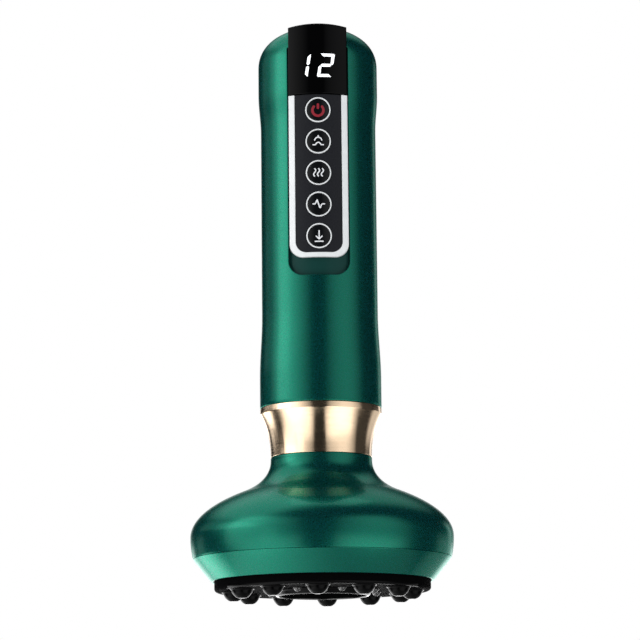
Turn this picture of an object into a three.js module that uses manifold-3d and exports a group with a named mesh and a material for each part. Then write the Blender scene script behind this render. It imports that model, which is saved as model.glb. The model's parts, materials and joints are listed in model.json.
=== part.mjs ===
// Electric cupping massager: a round grip with a key panel, a gold collar and a mushroom head
// that stands on a knobbed pad with a suction opening. Millimetres, +Z up the grip, panel towards -Y.
// The origin is under the centre of the pad, at the tips of its knobs.
import * as THREE from "three";
import { mergeVertices } from "three/addons/utils/BufferGeometryUtils.js";
import Module from "manifold-3d";

// Clearances
const CLEAR = 0.3; // between pieces that rest on or in each other
const RUNNING = 0.1; // radial, round pieces that slide or turn
const OVERRUN = 1; // how far a cut runs past the material

// Facets round a turn
const GRIP_FACETS = 36;
const HEAD_FACETS = 36;
const BOWL_FACETS = 24;
const RING_FACETS = 16;
const SMALL_FACETS = 10;
const KNOB_FACETS = 10;
const SMALL_KNOB_FACETS = 8;

// Heights of the stack, from the knob tips upwards
const KNOB_HEIGHT = 3.3;
const PAD_SIDE = 3.75;
const BAND_HEIGHT = 8.25;
const HEAD_BELLY_RISE = 7.9; // rim band to the widest point of the head
const SHOULDER_RISE = 17; // widest point to the start of the neck's hollow
const NECK_RISE = 12.2; // hollow curve up to the neck
const NECK_LIP = 0.9;
const COLLAR_FLARE_RISE = 16.1;
const COLLAR_BAND_RISE = 2.1;
const GRIP_FOOT_RISE = 11.6;
const LOWER_TAPER_RISE = 24;
const UPPER_TAPER_RISE = 14;
const CROWN_RISE = 11;
const DOME_RISE = 15.5;

// Grip
const GRIP_RADIUS = 22.1; // at the waist
const FOOT_SWELL = 0.95; // how much wider the foot is than the waist
const CROWN_SWELL = 0.85; // and the crown
const GRIP_WALL = 2.2;
const DOME_FULLNESS = 2.25; // exponent of the dome's rounded-square section
const DOME_STEPS = 6;
const HOLLOW_DOME_STEPS = 4;
const TAPER_STEPS = 3;
const LAP_DEPTH = 1.2; // tongue of the rear half inside the front half
const CLAMP_RIB_RISE = 3.2; // above the foot of the grip
const CLAMP_RIB_HEIGHT = 3.2;

// Panel pocket and what sits in it
const POCKET_DEPTH = 1.5;
const POCKET_FLOOR = 1.7;
const POCKET_BACKING = 1.8; // how far the floor's backing runs past the pocket's outline
const POCKET_TAIL = 6.6; // open stretch of pocket under the bezel
const POCKET_CORNER = 5.7;
const PANEL_SHARE = 0.5045; // of the grip's width at the waist
const BEZEL_STROKE = 2.3;
const BEZEL_FOOT_STROKE = 1.8;
const PANEL_RISE = 54.4; // foot of the grip to the foot of the bezel
const BEZEL_HEIGHT = 62.6;
const BEZEL_CORNER = 5.5;
const BEZEL_PROUD = 0.25;
const PANEL_SUNK = 0.1;
const WINDOW_DROP = 3.3; // top of the window below the top of the dome
const WINDOW_HEIGHT = 27.5;
const WINDOW_PROUD = 0.3;
const WINDOW_ARCH = 0.85;
const WINDOW_SEAT = 8.5; // part of the window that lies over the dome
const CORNER_STEPS = 5;

// Buttons
const BUTTONS = ["power", "suction", "heat", "pulse", "release"];
const FIRST_BUTTON_SHARE = 0.09786; // below the top of the panel, of its height
const LAST_BUTTON_SHARE = 0.1028; // above its foot
const BUTTON_RING_SHARE = 0.395; // radius, of the distance between two buttons
const BUTTON_RING_STROKE = 0.5;
const BUTTON_RING_PROUD = 0.3;
const BUTTON_TRAVEL = 0.5;
const BUTTON_CROWN = 0.3; // dome of the cap above its rim
const CROWN_MIDWAY_SHARES = [0.5, 0.75]; // of the cap's radius and of its crown
const BUTTON_LIP = 0.6; // flange that keeps the cap in, wider than the ring's bore
const BUTTON_LIP_THICKNESS = 0.7;
const BUTTON_STEM_RADIUS = 1.2;
const SWITCH_SIDE = 6;
const SWITCH_HEIGHT = 3.5;
const SWITCH_KEY_RADIUS = 1.75;
const SWITCH_KEY_HEIGHT = 0.8;

// Display module
const MODULE_SIDE = 2.4; // side of the panel to the side of the module
const MODULE_HEIGHT = 14.6;
const MODULE_RISE = 10.7; // centre of the digits above the window's lower edge
const MODULE_FACE_SINK = 0.6;
const MODULE_FACE_MARGIN = 1.2;

// Main board, frame and battery
const BOARD_DEPTH = 8.2; // grip surface to the board's face
const BOARD_THICKNESS = 1.6;
const BOARD_SIDE = 1.24; // between the board's face and the grip's inner wall
const BOARD_OVER = 1.1; // above the display module
const BOARD_DROP = 5; // below the bezel
const FRAME_THICKNESS = 2;
const FRAME_HOOP_WALL = 1.8;
const FRAME_HOOP_HEIGHT = 4;
const FRAME_HOOP_INSET = 10; // from each end of the battery
const BATTERY_RADIUS = 9.2;
const BATTERY_LENGTH = 65;
const BATTERY_RISE = 8; // above the foot of the board
const BATTERY_BUTTON_RADIUS = 3;
const BATTERY_BUTTON_HEIGHT = 1;
const FRAME_SCREW_EDGE = 2.2; // from the side of the board
const FRAME_SCREW_INSET = 4;
const FRAME_SCREW_RADIUS = 0.9;
const FRAME_SCREW_HEAD_RADIUS = 2;
const FRAME_SCREW_HEAD_HEIGHT = 1.4;
const FRAME_SCREW_BITE = 1.6; // length past the board
const FRAME_BOSS_RADIUS = 2.2;

// Charging input at the back of the grip
const SOCKET_RISE = 28; // above the foot of the grip
const SOCKET_WIDTH = 8.94;
const SOCKET_HEIGHT = 3.2;
const SOCKET_DEPTH = 7;
const SOCKET_WALL = 0.32;
const SOCKET_SUNK = 0.4;
const SOCKET_BACK = 0.8;
const SOCKET_TONGUE_WIDTH = 6.7;
const SOCKET_TONGUE_HEIGHT = 0.7;
const SOCKET_TONGUE_SHORT = 1;
const CHARGE_BOARD_WIDTH = 13;
const CHARGE_BOARD_LENGTH = 5.6;
const CHARGE_BOARD_THICKNESS = 1.2;
const CHARGE_SHELF_THICKNESS = 2;

// Collar
const COLLAR_PROUD = 0.05;
const COLLAR_FLARE_POWER = 2.2;
const COLLAR_STEPS = 7;

// Head
const NECK_SHARE = 0.8312; // of the radius of the grip's foot
const HEAD_RADIUS = 49.5;
const HEAD_TUCK = 0.9; // how much narrower the rim is than the widest point
const SHOULDER_RADIUS = 30;
const HEAD_WALL = 2.4;
const SPIGOT_WALL = 2.4;
const SPIGOT_CLEAR = 1.26; // collar wall at its narrow end
const SPIGOT_FLANGE = 2;
const SPIGOT_FLANGE_HEIGHT = 2.4;
const NECK_PULL = 6.2; // how long the neck's curve stays upright
const HOLLOW_REACH = 5.5; // how far the hollow runs out along the shoulder
const HOLLOW_DROP = 2.1;
const SHOULDER_PULL_SHARE = 1.6; // length of the shoulder's handle, of the hollow's own
const BELLY_PULL = 8;
const HEAD_CURVE_STEPS = 5;

// Rim band, pad and carrier
const BAND_TAPER = 6.8; // how much narrower the band is at its foot
const BAND_EDGE = 0.9; // wall at the foot of the band
const BAND_LEDGE_WIDTH = 2.4;
const BAND_LEDGE_HEIGHT = 2;
const CARRIER_THICKNESS = 2.4;
const PAD_PLATE = 2.7;
const PAD_SKIRT = 2.2;
const PAD_EDGE_ROUND = 1.2;
const PAD_EDGE_STEPS = 2;
const LIP_HEIGHT = 1.9; // lip round the opening, below the pad's face
const LIP_WALL = 1.8;
const LIP_SEAT = 0.9; // how far the lip stands in under the bowl's edge
const PAD_TURN = 3; // degrees, how far the knobs are turned on the handle's front
const KNOB_COUNT = 12;
const KNOB_RADIUS = 3.9;
const KNOB_FLAT = 1;
const KNOB_SHARE = 0.7085; // from the bowl to the pad's edge
const KNOB_STEPS = 3;
const SMALL_KNOB_COUNT = 8;
const SMALL_KNOB_RADIUS = 1.5;
const SMALL_KNOB_HEIGHT = 1.4;
const SMALL_KNOB_SHARE = 0.2065;
const SMALL_KNOB_STEPS = 2;
const SCREW_SHARE = 0.7328; // from the bowl to the carrier's edge
const SCREW_COUNT = 4;
const SCREW_RADIUS = 1.4;
const SCREW_HEAD_RADIUS = 2.7;
const SCREW_HEAD_HEIGHT = 1.7;
const SCREW_BITE = 8;
const SCREW_BOSS_RADIUS = 3.2;

// Suction bowl and what surrounds it
const BOWL_SHARE = 0.3916; // inside radius, of the pad's radius
const BOWL_WALL = 1.3;
const BOWL_SIDE = 9.3; // straight part of the bowl's wall
const BOWL_DOME = 4.5;
const BOWL_STEPS = 4;
const FLANGE_SHARE = 0.1336; // of the ring between bowl and pad edge
const BOWL_FLANGE_THICKNESS = 1.5;
const SEAL_WIDTH = 1.7;
const SEAL_HEIGHT = 1.1;
const PORT_RADIUS = 1.1; // air bore of every nipple
const NIPPLE_RADIUS = 2.2;
const BOWL_NIPPLE = 7;
const FILTER_SHARE = 0.327; // of the bowl's radius
const FILTER_THICKNESS = 1.1;
const FILTER_HOLE_RADIUS = 0.7;
const FILTER_HOLE_SHARE = 0.577; // of the filter's radius
const FILTER_HOLES = 6;
const FILTER_DROP = 0.7; // below the top of the bowl
const HEATER_SHARE = 0.405; // width, of the same ring
const HEATER_THICKNESS = 0.8;
const LED_BOARD_SHARE = 0.1943; // width, of the same ring
const LED_BOARD_THICKNESS = 1.2;
const LED_SIDE = 2;
const LED_HEIGHT = 0.8;
const LED_COUNT = 6;
const CONTACT_RADIUS = 1.5;
const CONTACT_TOP = 2; // above the carrier

// Air path
const HOSE_WALL = 0.95;
const VALVE_HOSE_STEPS = 12;
const VALVE_HOSE_BENDS = 8; // points along its curve
const HOSE_FIT = 0.25; // play between hose and nipple
const TEE_GAP = 2.5; // between the bowl's nipple and the tee
const TEE_LEG = 15.5;
const TEE_BRANCH_RISE = 6.5;
const TEE_BRANCH_REACH = 8;
const HOSE_LAP = 4; // how far a hose covers a nipple
const VALVE_GAP = 0.9; // between the lamp board and the valve
const VALVE_LENGTH = 13;
const VALVE_HEIGHT = 13;
const VALVE_NIPPLE_RISE = 7;
const VALVE_NIPPLE_REACH = 4.5;
const PLUNGER_RADIUS = 2.2;
const PLUNGER_HEAD_RADIUS = 3.2;
const PLUNGER_HEAD_HEIGHT = 0.8;
const PLUNGER_FOOT_RISE = 3; // above the foot of the valve
const SPRING_WIRE = 0.3; // radius of the wire
const SPRING_TURNS = 3;
const SPRING_LENGTH = 3.2;
const SPRING_STEPS = 8; // in each turn
const SPRING_SIDES = 5;

// Pump
const PUMP_NIPPLE = 8;
const PUMP_NIPPLE_GAP = 5; // between the tee's top and the pump's nipple
const PUMP_HEAD_SHARE = 0.882; // of the neck's bore
const PUMP_HEAD_LENGTH = 25.7;
const CHAMBER_SHARE = 0.709; // of the pump head's radius
const PUMP_CHAMBER_LENGTH = 15;
const PUMP_CHAMBER_ROOF = 2.2;
const ECCENTRIC_SHARE = 0.63; // of the chamber's radius
const ECCENTRIC_OFFSET = 1.2;
const ECCENTRIC_HEIGHT = 4.5;
const ECCENTRIC_DROP = 2.2; // below the chamber's roof
const DIAPHRAGM_SHARE = 0.926; // of the chamber's radius
const DIAPHRAGM_THICKNESS = 1.5;
const DIAPHRAGM_HUB_RADIUS = 3;
const SHAFT_RADIUS = 1.1;
const SHAFT_IN_MOTOR = 14;
const MOTOR_SHARE = 0.903; // of the pump head's radius
const MOTOR_LENGTH = 31;
const MOTOR_CAP_RADIUS = 4;
const MOTOR_CAP_HEIGHT = 1.4;
const MOTOR_HOOP_WALL = 2;
const MOTOR_HOOP_HEIGHT = 5;
const DAMPER_RISE = 3;
const DAMPER_LENGTH = 18;

// Levels worked out from the stack
const padFaceZ = KNOB_HEIGHT;
const bandFootZ = padFaceZ + PAD_SIDE;
const bandTopZ = bandFootZ + BAND_HEIGHT;
const headFootZ = bandTopZ + CLEAR;
const bellyZ = headFootZ + HEAD_BELLY_RISE;
const shoulderZ = bellyZ + SHOULDER_RISE;
const neckZ = shoulderZ + NECK_RISE;
const headTopZ = neckZ + NECK_LIP;
const collarFootZ = headTopZ + CLEAR;
const collarCreaseZ = collarFootZ + COLLAR_FLARE_RISE;
const collarTopZ = collarCreaseZ + COLLAR_BAND_RISE;
const gripFootZ = collarTopZ + CLEAR;
const lowerTaperZ = gripFootZ + GRIP_FOOT_RISE;
const bezelFootZ = gripFootZ + PANEL_RISE;
const panelTopZ = bezelFootZ + BEZEL_HEIGHT;
const windowFootZ = panelTopZ + CLEAR;
const windowTopZ = windowFootZ + WINDOW_HEIGHT;
const gripTopZ = windowTopZ + WINDOW_DROP;
const domeZ = gripTopZ - DOME_RISE;
const upperTaperZ = domeZ - CROWN_RISE - UPPER_TAPER_RISE;

const gripFootRadius = GRIP_RADIUS + FOOT_SWELL;
const crownRadius = GRIP_RADIUS + CROWN_SWELL;
const panelWidth = 2 * GRIP_RADIUS * PANEL_SHARE;
const moduleWidth = panelWidth - 2 * MODULE_SIDE;

const pocketFootZ = bezelFootZ - POCKET_TAIL;
const pocketTopZ = windowTopZ - WINDOW_SEAT;
const moduleZ = windowFootZ + MODULE_RISE;
const keyHeight = BEZEL_HEIGHT - BEZEL_FOOT_STROKE;
const firstButtonZ = panelTopZ - keyHeight * FIRST_BUTTON_SHARE;
const lastButtonZ = bezelFootZ + BEZEL_FOOT_STROKE + keyHeight * LAST_BUTTON_SHARE;
const buttonPitch = (firstButtonZ - lastButtonZ) / (BUTTONS.length - 1);
const buttonZs = BUTTONS.map((_, i) => firstButtonZ - i * buttonPitch);
const buttonRingRadius = buttonPitch * BUTTON_RING_SHARE;

const boardFaceY = -(GRIP_RADIUS - BOARD_DEPTH);
const boardBackY = boardFaceY + BOARD_THICKNESS;
const boardHalf = Math.sqrt((GRIP_RADIUS - GRIP_WALL) ** 2 - boardFaceY ** 2) - BOARD_SIDE;
const frameScrewX = boardHalf - FRAME_SCREW_EDGE;
const boardFootZ = bezelFootZ - BOARD_DROP;
const boardTopZ = moduleZ + MODULE_HEIGHT / 2 + BOARD_OVER;
const frameFaceY = boardBackY + CLEAR;
const frameBackY = frameFaceY + FRAME_THICKNESS;
const batteryY = frameBackY + CLEAR + BATTERY_RADIUS;
const batteryFootZ = boardFootZ + BATTERY_RISE;

const bandLedgeZ = bandTopZ - BAND_LEDGE_HEIGHT;
const carrierTopZ = bandLedgeZ - CLEAR;
const carrierFootZ = carrierTopZ - CARRIER_THICKNESS;
const rimRadius = HEAD_RADIUS - HEAD_TUCK;
const bandFootRadius = rimRadius - BAND_TAPER;
const bandBoreRadius = bandFootRadius - BAND_EDGE;
const padRadius = bandBoreRadius - CLEAR;
const padPlateTopZ = padFaceZ + PAD_PLATE;
const padTopZ = carrierFootZ - CLEAR;

const bowlRadius = padRadius * BOWL_SHARE; // inside
const padRing = padRadius - bowlRadius;
const screwCircle = bowlRadius + padRing * SCREW_SHARE; // carries the contacts too
const bowlOuterRadius = bowlRadius + BOWL_WALL;
const bowlFootZ = padFaceZ + LIP_SEAT;
const bowlShoulderZ = bowlFootZ + BOWL_SIDE;
const bowlTopZ = bowlShoulderZ + BOWL_DOME;
const padBoreRadius = bowlOuterRadius + CLEAR;
const sealFootZ = carrierTopZ + CLEAR;
const bowlFlangeZ = sealFootZ + SEAL_HEIGHT + CLEAR;
const bowlFlangeRadius = bowlOuterRadius + padRing * FLANGE_SHARE;
const nippleTopZ = bowlTopZ + BOWL_WALL + BOWL_NIPPLE;

const neckRadius = gripFootRadius * NECK_SHARE;
const spigotRadius = neckRadius - SPIGOT_CLEAR - CLEAR;
const spigotBore = spigotRadius - SPIGOT_WALL;
const pumpHeadRadius = spigotBore * PUMP_HEAD_SHARE;
const chamberRadius = pumpHeadRadius * CHAMBER_SHARE;
const motorRadius = pumpHeadRadius * MOTOR_SHARE;
const clampRibZ = gripFootZ + CLAMP_RIB_RISE;
const spigotFlangeZ = clampRibZ + CLAMP_RIB_HEIGHT + CLEAR;
const spigotTopZ = spigotFlangeZ + SPIGOT_FLANGE_HEIGHT;

const teeFootZ = nippleTopZ + TEE_GAP;
const teeTopZ = teeFootZ + TEE_LEG;
const branchZ = teeFootZ + TEE_BRANCH_RISE;
const pumpNippleZ = teeTopZ + PUMP_NIPPLE_GAP;
const pumpFootZ = pumpNippleZ + PUMP_NIPPLE;
const pumpTopZ = pumpFootZ + PUMP_HEAD_LENGTH;
const chamberTopZ = pumpTopZ - PUMP_CHAMBER_ROOF;
const chamberFootZ = chamberTopZ - PUMP_CHAMBER_LENGTH;
const motorFootZ = pumpTopZ + CLEAR;
const motorTopZ = motorFootZ + MOTOR_LENGTH;
const hoseBore = NIPPLE_RADIUS + HOSE_FIT;
const ledBoardRadius = bowlFlangeRadius + CLEAR + padRing * LED_BOARD_SHARE;
const ledgeRadius = bandBoreRadius - BAND_LEDGE_WIDTH;
const valveInnerX = ledBoardRadius + VALVE_GAP;
const valveOuterX = Math.sqrt((ledgeRadius - CLEAR) ** 2 - (VALVE_LENGTH / 2) ** 2);
const valveX = (valveInnerX + valveOuterX) / 2;
const valveFootZ = carrierTopZ + CLEAR;
const valveTopZ = valveFootZ + VALVE_HEIGHT;

const QUARTER_TURN = Math.PI / 2;
const FULL_TURN = 2 * Math.PI;

const wasm = await Module();
wasm.setup();

// Solids

/** A closed solid for joining and cutting, from a geometry whose shared corners are merged. */
function solid(geometry) {
  const bare = geometry.clone();
  bare.deleteAttribute("normal");
  bare.deleteAttribute("uv");
  const merged = mergeVertices(bare);
  const corners = merged.index.array;
  const kept = [];
  for (let i = 0; i < corners.length; i += 3) {
    const [a, b, c] = corners.slice(i, i + 3);
    if (a !== b && b !== c && c !== a) kept.push(a, b, c);
  }
  return new wasm.Manifold(
    new wasm.Mesh({
      numProp: 3,
      vertProperties: merged.attributes.position.array,
      triVerts: new Uint32Array(kept),
    }),
  );
}

/** The geometry of a solid, with flat shaded faces. */
function geometryOf(made) {
  const { vertProperties, triVerts } = made.getMesh();
  const geometry = new THREE.BufferGeometry();
  geometry.setAttribute("position", new THREE.BufferAttribute(vertProperties, 3));
  geometry.setIndex(new THREE.BufferAttribute(triVerts, 1));
  const flat = geometry.toNonIndexed();
  flat.computeVertexNormals();
  return flat;
}

/** A solid turned round the Z axis from a closed profile of [radius, height] points. */
function turned(profile, facets) {
  const area = profile.reduce((sum, [r, z], i) => {
    const [nextR, nextZ] = profile[(i + 1) % profile.length];
    return sum + r * nextZ - nextR * z;
  }, 0);
  const ordered = area > 0 ? [...profile] : [...profile].reverse();
  const points = [...ordered, ordered[0]].map(([r, z]) => new THREE.Vector2(r, z));
  return solid(new THREE.LatheGeometry(points, facets).rotateX(QUARTER_TURN));
}

/** A ring of rectangular section. */
function ring(inner, outer, foot, top, facets) {
  return turned([[inner, foot], [outer, foot], [outer, top], [inner, top]], facets);
}

/** A rod along Z. */
function rod(radius, foot, top, facets) {
  const geometry = new THREE.CylinderGeometry(radius, radius, top - foot, facets);
  return solid(geometry.rotateX(QUARTER_TURN).translate(0, 0, (foot + top) / 2));
}

/** A rod along Y. */
function crossRod(radius, front, back, facets) {
  const geometry = new THREE.CylinderGeometry(radius, radius, back - front, facets);
  return solid(geometry.translate(0, (front + back) / 2, 0));
}

/** A block between two corners. */
function block([x0, y0, z0], [x1, y1, z1]) {
  const geometry = new THREE.BoxGeometry(x1 - x0, y1 - y0, z1 - z0);
  return solid(geometry.translate((x0 + x1) / 2, (y0 + y1) / 2, (z0 + z1) / 2));
}

/** An outline in the XZ plane carried from front to back along Y. */
function slab(outline, front, back) {
  const options = { depth: back - front, bevelEnabled: false, curveSegments: CORNER_STEPS };
  return solid(new THREE.ExtrudeGeometry(outline, options).rotateX(QUARTER_TURN).translate(0, back, 0));
}

/** Copies of a solid moved round a circle about Z. */
function aroundCircle(made, radius, count, startAngle) {
  const copies = [];
  for (let i = 0; i < count; i += 1) {
    const angle = startAngle + (i * FULL_TURN) / count;
    copies.push(made.translate([radius * Math.cos(angle), radius * Math.sin(angle), 0]));
  }
  return copies;
}

function joined(first, others) {
  return others.reduce((sum, other) => sum.add(other), first);
}

function cut(first, others) {
  return others.reduce((rest, other) => rest.subtract(other), first);
}

/** A tube carried along a curve, with its bore. */
function hose(path, bore, outer, steps) {
  const section = new THREE.Shape().absarc(0, 0, outer, 0, FULL_TURN);
  section.holes.push(new THREE.Path().absarc(0, 0, bore, 0, FULL_TURN, true));
  const options = { steps, extrudePath: path, curveSegments: SMALL_FACETS / 2 };
  return solid(new THREE.ExtrudeGeometry(section, options));
}

// The grip's own shape

const eased = (share) => share * share * (3 - 2 * share);

/** Outer radius of the grip below its dome: foot, soft taper to the waist, swell to the crown. */
function gripRadius(z) {
  const lower = THREE.MathUtils.clamp((z - lowerTaperZ) / LOWER_TAPER_RISE, 0, 1);
  const upper = THREE.MathUtils.clamp((z - upperTaperZ) / UPPER_TAPER_RISE, 0, 1);
  const waist = THREE.MathUtils.lerp(gripFootRadius, GRIP_RADIUS, eased(lower));
  return waist + (crownRadius - GRIP_RADIUS) * eased(upper);
}

/** Heights at which the straight part of the grip needs a corner in its profile. */
function gripLevels() {
  const levels = [gripFootZ];
  for (let i = 0; i <= TAPER_STEPS; i += 1) levels.push(lowerTaperZ + (i / TAPER_STEPS) * LOWER_TAPER_RISE);
  for (let i = 0; i <= TAPER_STEPS; i += 1) levels.push(upperTaperZ + (i / TAPER_STEPS) * UPPER_TAPER_RISE);
  levels.push(domeZ);
  return levels;
}

/** Points over the dome, a rounded-square quarter, moved out by offset. */
function domeLine(offset, steps) {
  const line = [];
  for (let i = 1; i <= steps; i += 1) {
    const angle = (QUARTER_TURN * i) / steps;
    const radius = (crownRadius + offset) * Math.cos(angle) ** (2 / DOME_FULLNESS);
    const rise = (DOME_RISE + offset) * Math.sin(angle) ** (2 / DOME_FULLNESS);
    line.push([i === steps ? 0 : radius, domeZ + rise]);
  }
  return line;
}

/** The whole grip as a full solid, moved out by offset and starting at foot. */
function gripCore(offset, foot, domeSteps = DOME_STEPS) {
  const side = gripLevels().filter((z) => z > foot).map((z) => [gripRadius(z) + offset, z]);
  const dome = domeLine(offset, domeSteps);
  return turned([[0, foot], [gripRadius(foot) + offset, foot], ...side, ...dome], GRIP_FACETS);
}

/** Radius of the dome, moved out by offset, at a height. */
function domeRadius(z, offset) {
  const share = (z - domeZ) / (DOME_RISE + offset);
  return (crownRadius + offset) * (1 - share ** DOME_FULLNESS) ** (1 / DOME_FULLNESS);
}

/** A U-shaped outline, square at the top, with rounded lower corners. */
function panelOutline(width, foot, top, corner) {
  const half = width / 2;
  const outline = new THREE.Shape();
  outline.moveTo(half, top);
  outline.lineTo(-half, top);
  outline.lineTo(-half, foot + corner);
  outline.absarc(-half + corner, foot + corner, corner, Math.PI, Math.PI + QUARTER_TURN);
  outline.absarc(half - corner, foot + corner, corner, -QUARTER_TURN, 0);
  outline.closePath();
  return outline;
}

const frontY = -(crownRadius + GRIP_WALL + OVERRUN); // in front of everything on the panel
const farY = -frontY;
const frontHalf = block([frontY, frontY, 0], [farY, 0, gripTopZ + OVERRUN]);
const rearHalf = block([frontY, 0, 0], [farY, farY, gripTopZ + OVERRUN]);

/** Hollow shell of the whole grip with the rib that clamps the neck. */
function gripShell() {
  const hollow = gripCore(-GRIP_WALL, gripFootZ - OVERRUN, HOLLOW_DOME_STEPS);
  const ribRadius = gripFootRadius - GRIP_WALL / 2;
  const rib = ring(spigotRadius + CLEAR, ribRadius, clampRibZ, clampRibZ + CLAMP_RIB_HEIGHT, GRIP_FACETS);
  return gripCore(0, gripFootZ).subtract(hollow).add(rib);
}

/** A band of the wall between two offsets, cut off at a depth in front of the seam. */
function seamBand(outerOffset, innerOffset, depth, foot, top) {
  const band = gripCore(outerOffset, foot).subtract(gripCore(innerOffset, foot - OVERRUN));
  return band.intersect(block([frontY, -depth, foot], [farY, OVERRUN, top]));
}

/** The rear half's tongue: the inner half of its wall, run past the seam. */
function lapTongue() {
  return seamBand(-GRIP_WALL / 2 - CLEAR, -GRIP_WALL, LAP_DEPTH, spigotTopZ + CLEAR, domeZ - CLEAR);
}

/** The room for the tongue in the front half. */
function lapRebate() {
  return seamBand(-GRIP_WALL / 2, -GRIP_WALL - OVERRUN, LAP_DEPTH + CLEAR, spigotTopZ, domeZ);
}

const pocketWidth = panelWidth + 2 * CLEAR;
const bossHoleRadius = FRAME_SCREW_RADIUS + CLEAR;
const frameScrewSpots = [-frameScrewX, frameScrewX].flatMap((x) => [
  [x, boardFootZ + FRAME_SCREW_INSET],
  [x, boardTopZ - FRAME_SCREW_INSET],
]);

function handleFrontShell() {
  const outline = panelOutline(pocketWidth, pocketFootZ, pocketTopZ, POCKET_CORNER);
  const backingTop = pocketTopZ + POCKET_BACKING;
  const backingWidth = pocketWidth + 2 * POCKET_BACKING;
  const backingOutline = panelOutline(backingWidth, pocketFootZ - POCKET_BACKING, backingTop, POCKET_CORNER);
  const floorFace = gripCore(-POCKET_DEPTH, gripFootZ);
  const floorBack = gripCore(-POCKET_DEPTH - POCKET_FLOOR, gripFootZ, HOLLOW_DOME_STEPS);
  const pocket = slab(outline, frontY, boardFaceY).subtract(floorFace);
  const backing = slab(backingOutline, frontY, boardFaceY).intersect(floorFace).subtract(floorBack);
  const windowHalf = moduleWidth / 2 + CLEAR;
  const moduleHalf = MODULE_HEIGHT / 2 + CLEAR;
  const moduleWindow = block(
    [-windowHalf, frontY, moduleZ - moduleHalf],
    [windowHalf, boardFaceY, moduleZ + moduleHalf],
  );
  const bosses = frameScrewSpots.map(([x, z]) =>
    crossRod(FRAME_BOSS_RADIUS, frontY, boardFaceY - CLEAR, SMALL_FACETS)
      .translate([x, 0, z])
      .intersect(floorFace),
  );
  const pilot = crossRod(bossHoleRadius, boardFaceY - FRAME_SCREW_BITE - CLEAR, boardFaceY, SMALL_FACETS);
  const pilots = frameScrewSpots.map(([x, z]) => pilot.translate([x, 0, z]));
  const lipHole = crossRod(buttonRingRadius + CLEAR, frontY, boardFaceY, RING_FACETS);
  const buttonHoles = buttonZs.map((z) => lipHole.translate([0, 0, z]));
  const front = gripShell().intersect(frontHalf).subtract(lapRebate());
  return cut(joined(front, [backing, ...bosses]), [pocket, moduleWindow, ...buttonHoles, ...pilots]);
}

const socketZ = gripFootZ + SOCKET_RISE;
const socketFaceY = gripRadius(socketZ) - SOCKET_SUNK;
const socketBackY = socketFaceY - SOCKET_DEPTH;
const chargeBoardTopZ = socketZ - SOCKET_HEIGHT / 2 - CLEAR;
const chargeBoardFootZ = chargeBoardTopZ - CHARGE_BOARD_THICKNESS;

/** A rounded slot outline, as wide and as high as given, centred at a height. */
function slotOutline(width, height, z) {
  const radius = height / 2;
  const straight = width / 2 - radius;
  const outline = new THREE.Shape();
  outline.absarc(straight, z, radius, -QUARTER_TURN, QUARTER_TURN);
  outline.absarc(-straight, z, radius, QUARTER_TURN, QUARTER_TURN + Math.PI);
  outline.closePath();
  return outline;
}

const chargeBoardBackY = Math.sqrt(
  (gripRadius(socketZ) - GRIP_WALL - CLEAR) ** 2 - (CHARGE_BOARD_WIDTH / 2) ** 2,
);
const chargeBoardFrontY = chargeBoardBackY - CHARGE_BOARD_LENGTH;

function handleRearShell() {
  const slot = slab(
    slotOutline(SOCKET_WIDTH + 2 * CLEAR, SOCKET_HEIGHT + 2 * CLEAR, socketZ),
    chargeBoardFrontY,
    farY,
  );
  const shelfTop = chargeBoardFootZ - CLEAR;
  const shelfHalf = CHARGE_BOARD_WIDTH / 2;
  const shelf = block(
    [-shelfHalf, chargeBoardFrontY, shelfTop - CHARGE_SHELF_THICKNESS],
    [shelfHalf, farY, shelfTop],
  ).intersect(gripCore(-GRIP_WALL / 2, gripFootZ));
  const rear = gripShell().intersect(rearHalf).add(lapTongue());
  return rear.add(shelf).subtract(slot);
}

// Pieces in the pocket

function displayWindow() {
  const half = panelWidth / 2;
  const outline = new THREE.Shape();
  outline.moveTo(-half, windowFootZ);
  outline.lineTo(half, windowFootZ);
  outline.lineTo(half, windowTopZ - WINDOW_ARCH);
  outline.quadraticCurveTo(0, windowTopZ + WINDOW_ARCH, -half, windowTopZ - WINDOW_ARCH);
  outline.closePath();
  const face = crownRadius + WINDOW_PROUD;
  const facing = rod(face, windowFootZ - OVERRUN, gripTopZ, GRIP_FACETS);
  return slab(outline, frontY, boardFaceY).intersect(facing).subtract(windowSeat());
}

/** What the window lies on: the pocket's floor, a step at its top, then the dome, with clearance. */
function windowSeat() {
  const stepZ = pocketTopZ - CLEAR;
  const sunk = CLEAR - POCKET_DEPTH;
  const side = gripLevels().map((z) => [gripRadius(z) + sunk, z]);
  const step = [[domeRadius(stepZ, sunk), stepZ], [domeRadius(stepZ, CLEAR), stepZ]];
  const dome = domeLine(CLEAR, DOME_STEPS).filter(([, z]) => z > stepZ);
  return turned([[0, gripFootZ], ...side, ...step, ...dome], GRIP_FACETS);
}

function panelBlank(width, foot, corner, proud) {
  const outline = panelOutline(width, foot, panelTopZ, corner);
  const back = gripCore(CLEAR - POCKET_DEPTH, gripFootZ);
  return slab(outline, frontY, boardFaceY).intersect(gripCore(proud, gripFootZ)).subtract(back);
}

const keyWidth = panelWidth - 2 * BEZEL_STROKE;
const keyFootZ = bezelFootZ + BEZEL_FOOT_STROKE;
const keyCorner = BEZEL_CORNER - BEZEL_STROKE / 2;

function panelBezel() {
  const inside = panelOutline(keyWidth, keyFootZ, panelTopZ + OVERRUN, keyCorner);
  const blank = panelBlank(panelWidth, bezelFootZ, BEZEL_CORNER, BEZEL_PROUD);
  return blank.subtract(slab(inside, frontY, boardFaceY));
}

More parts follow.
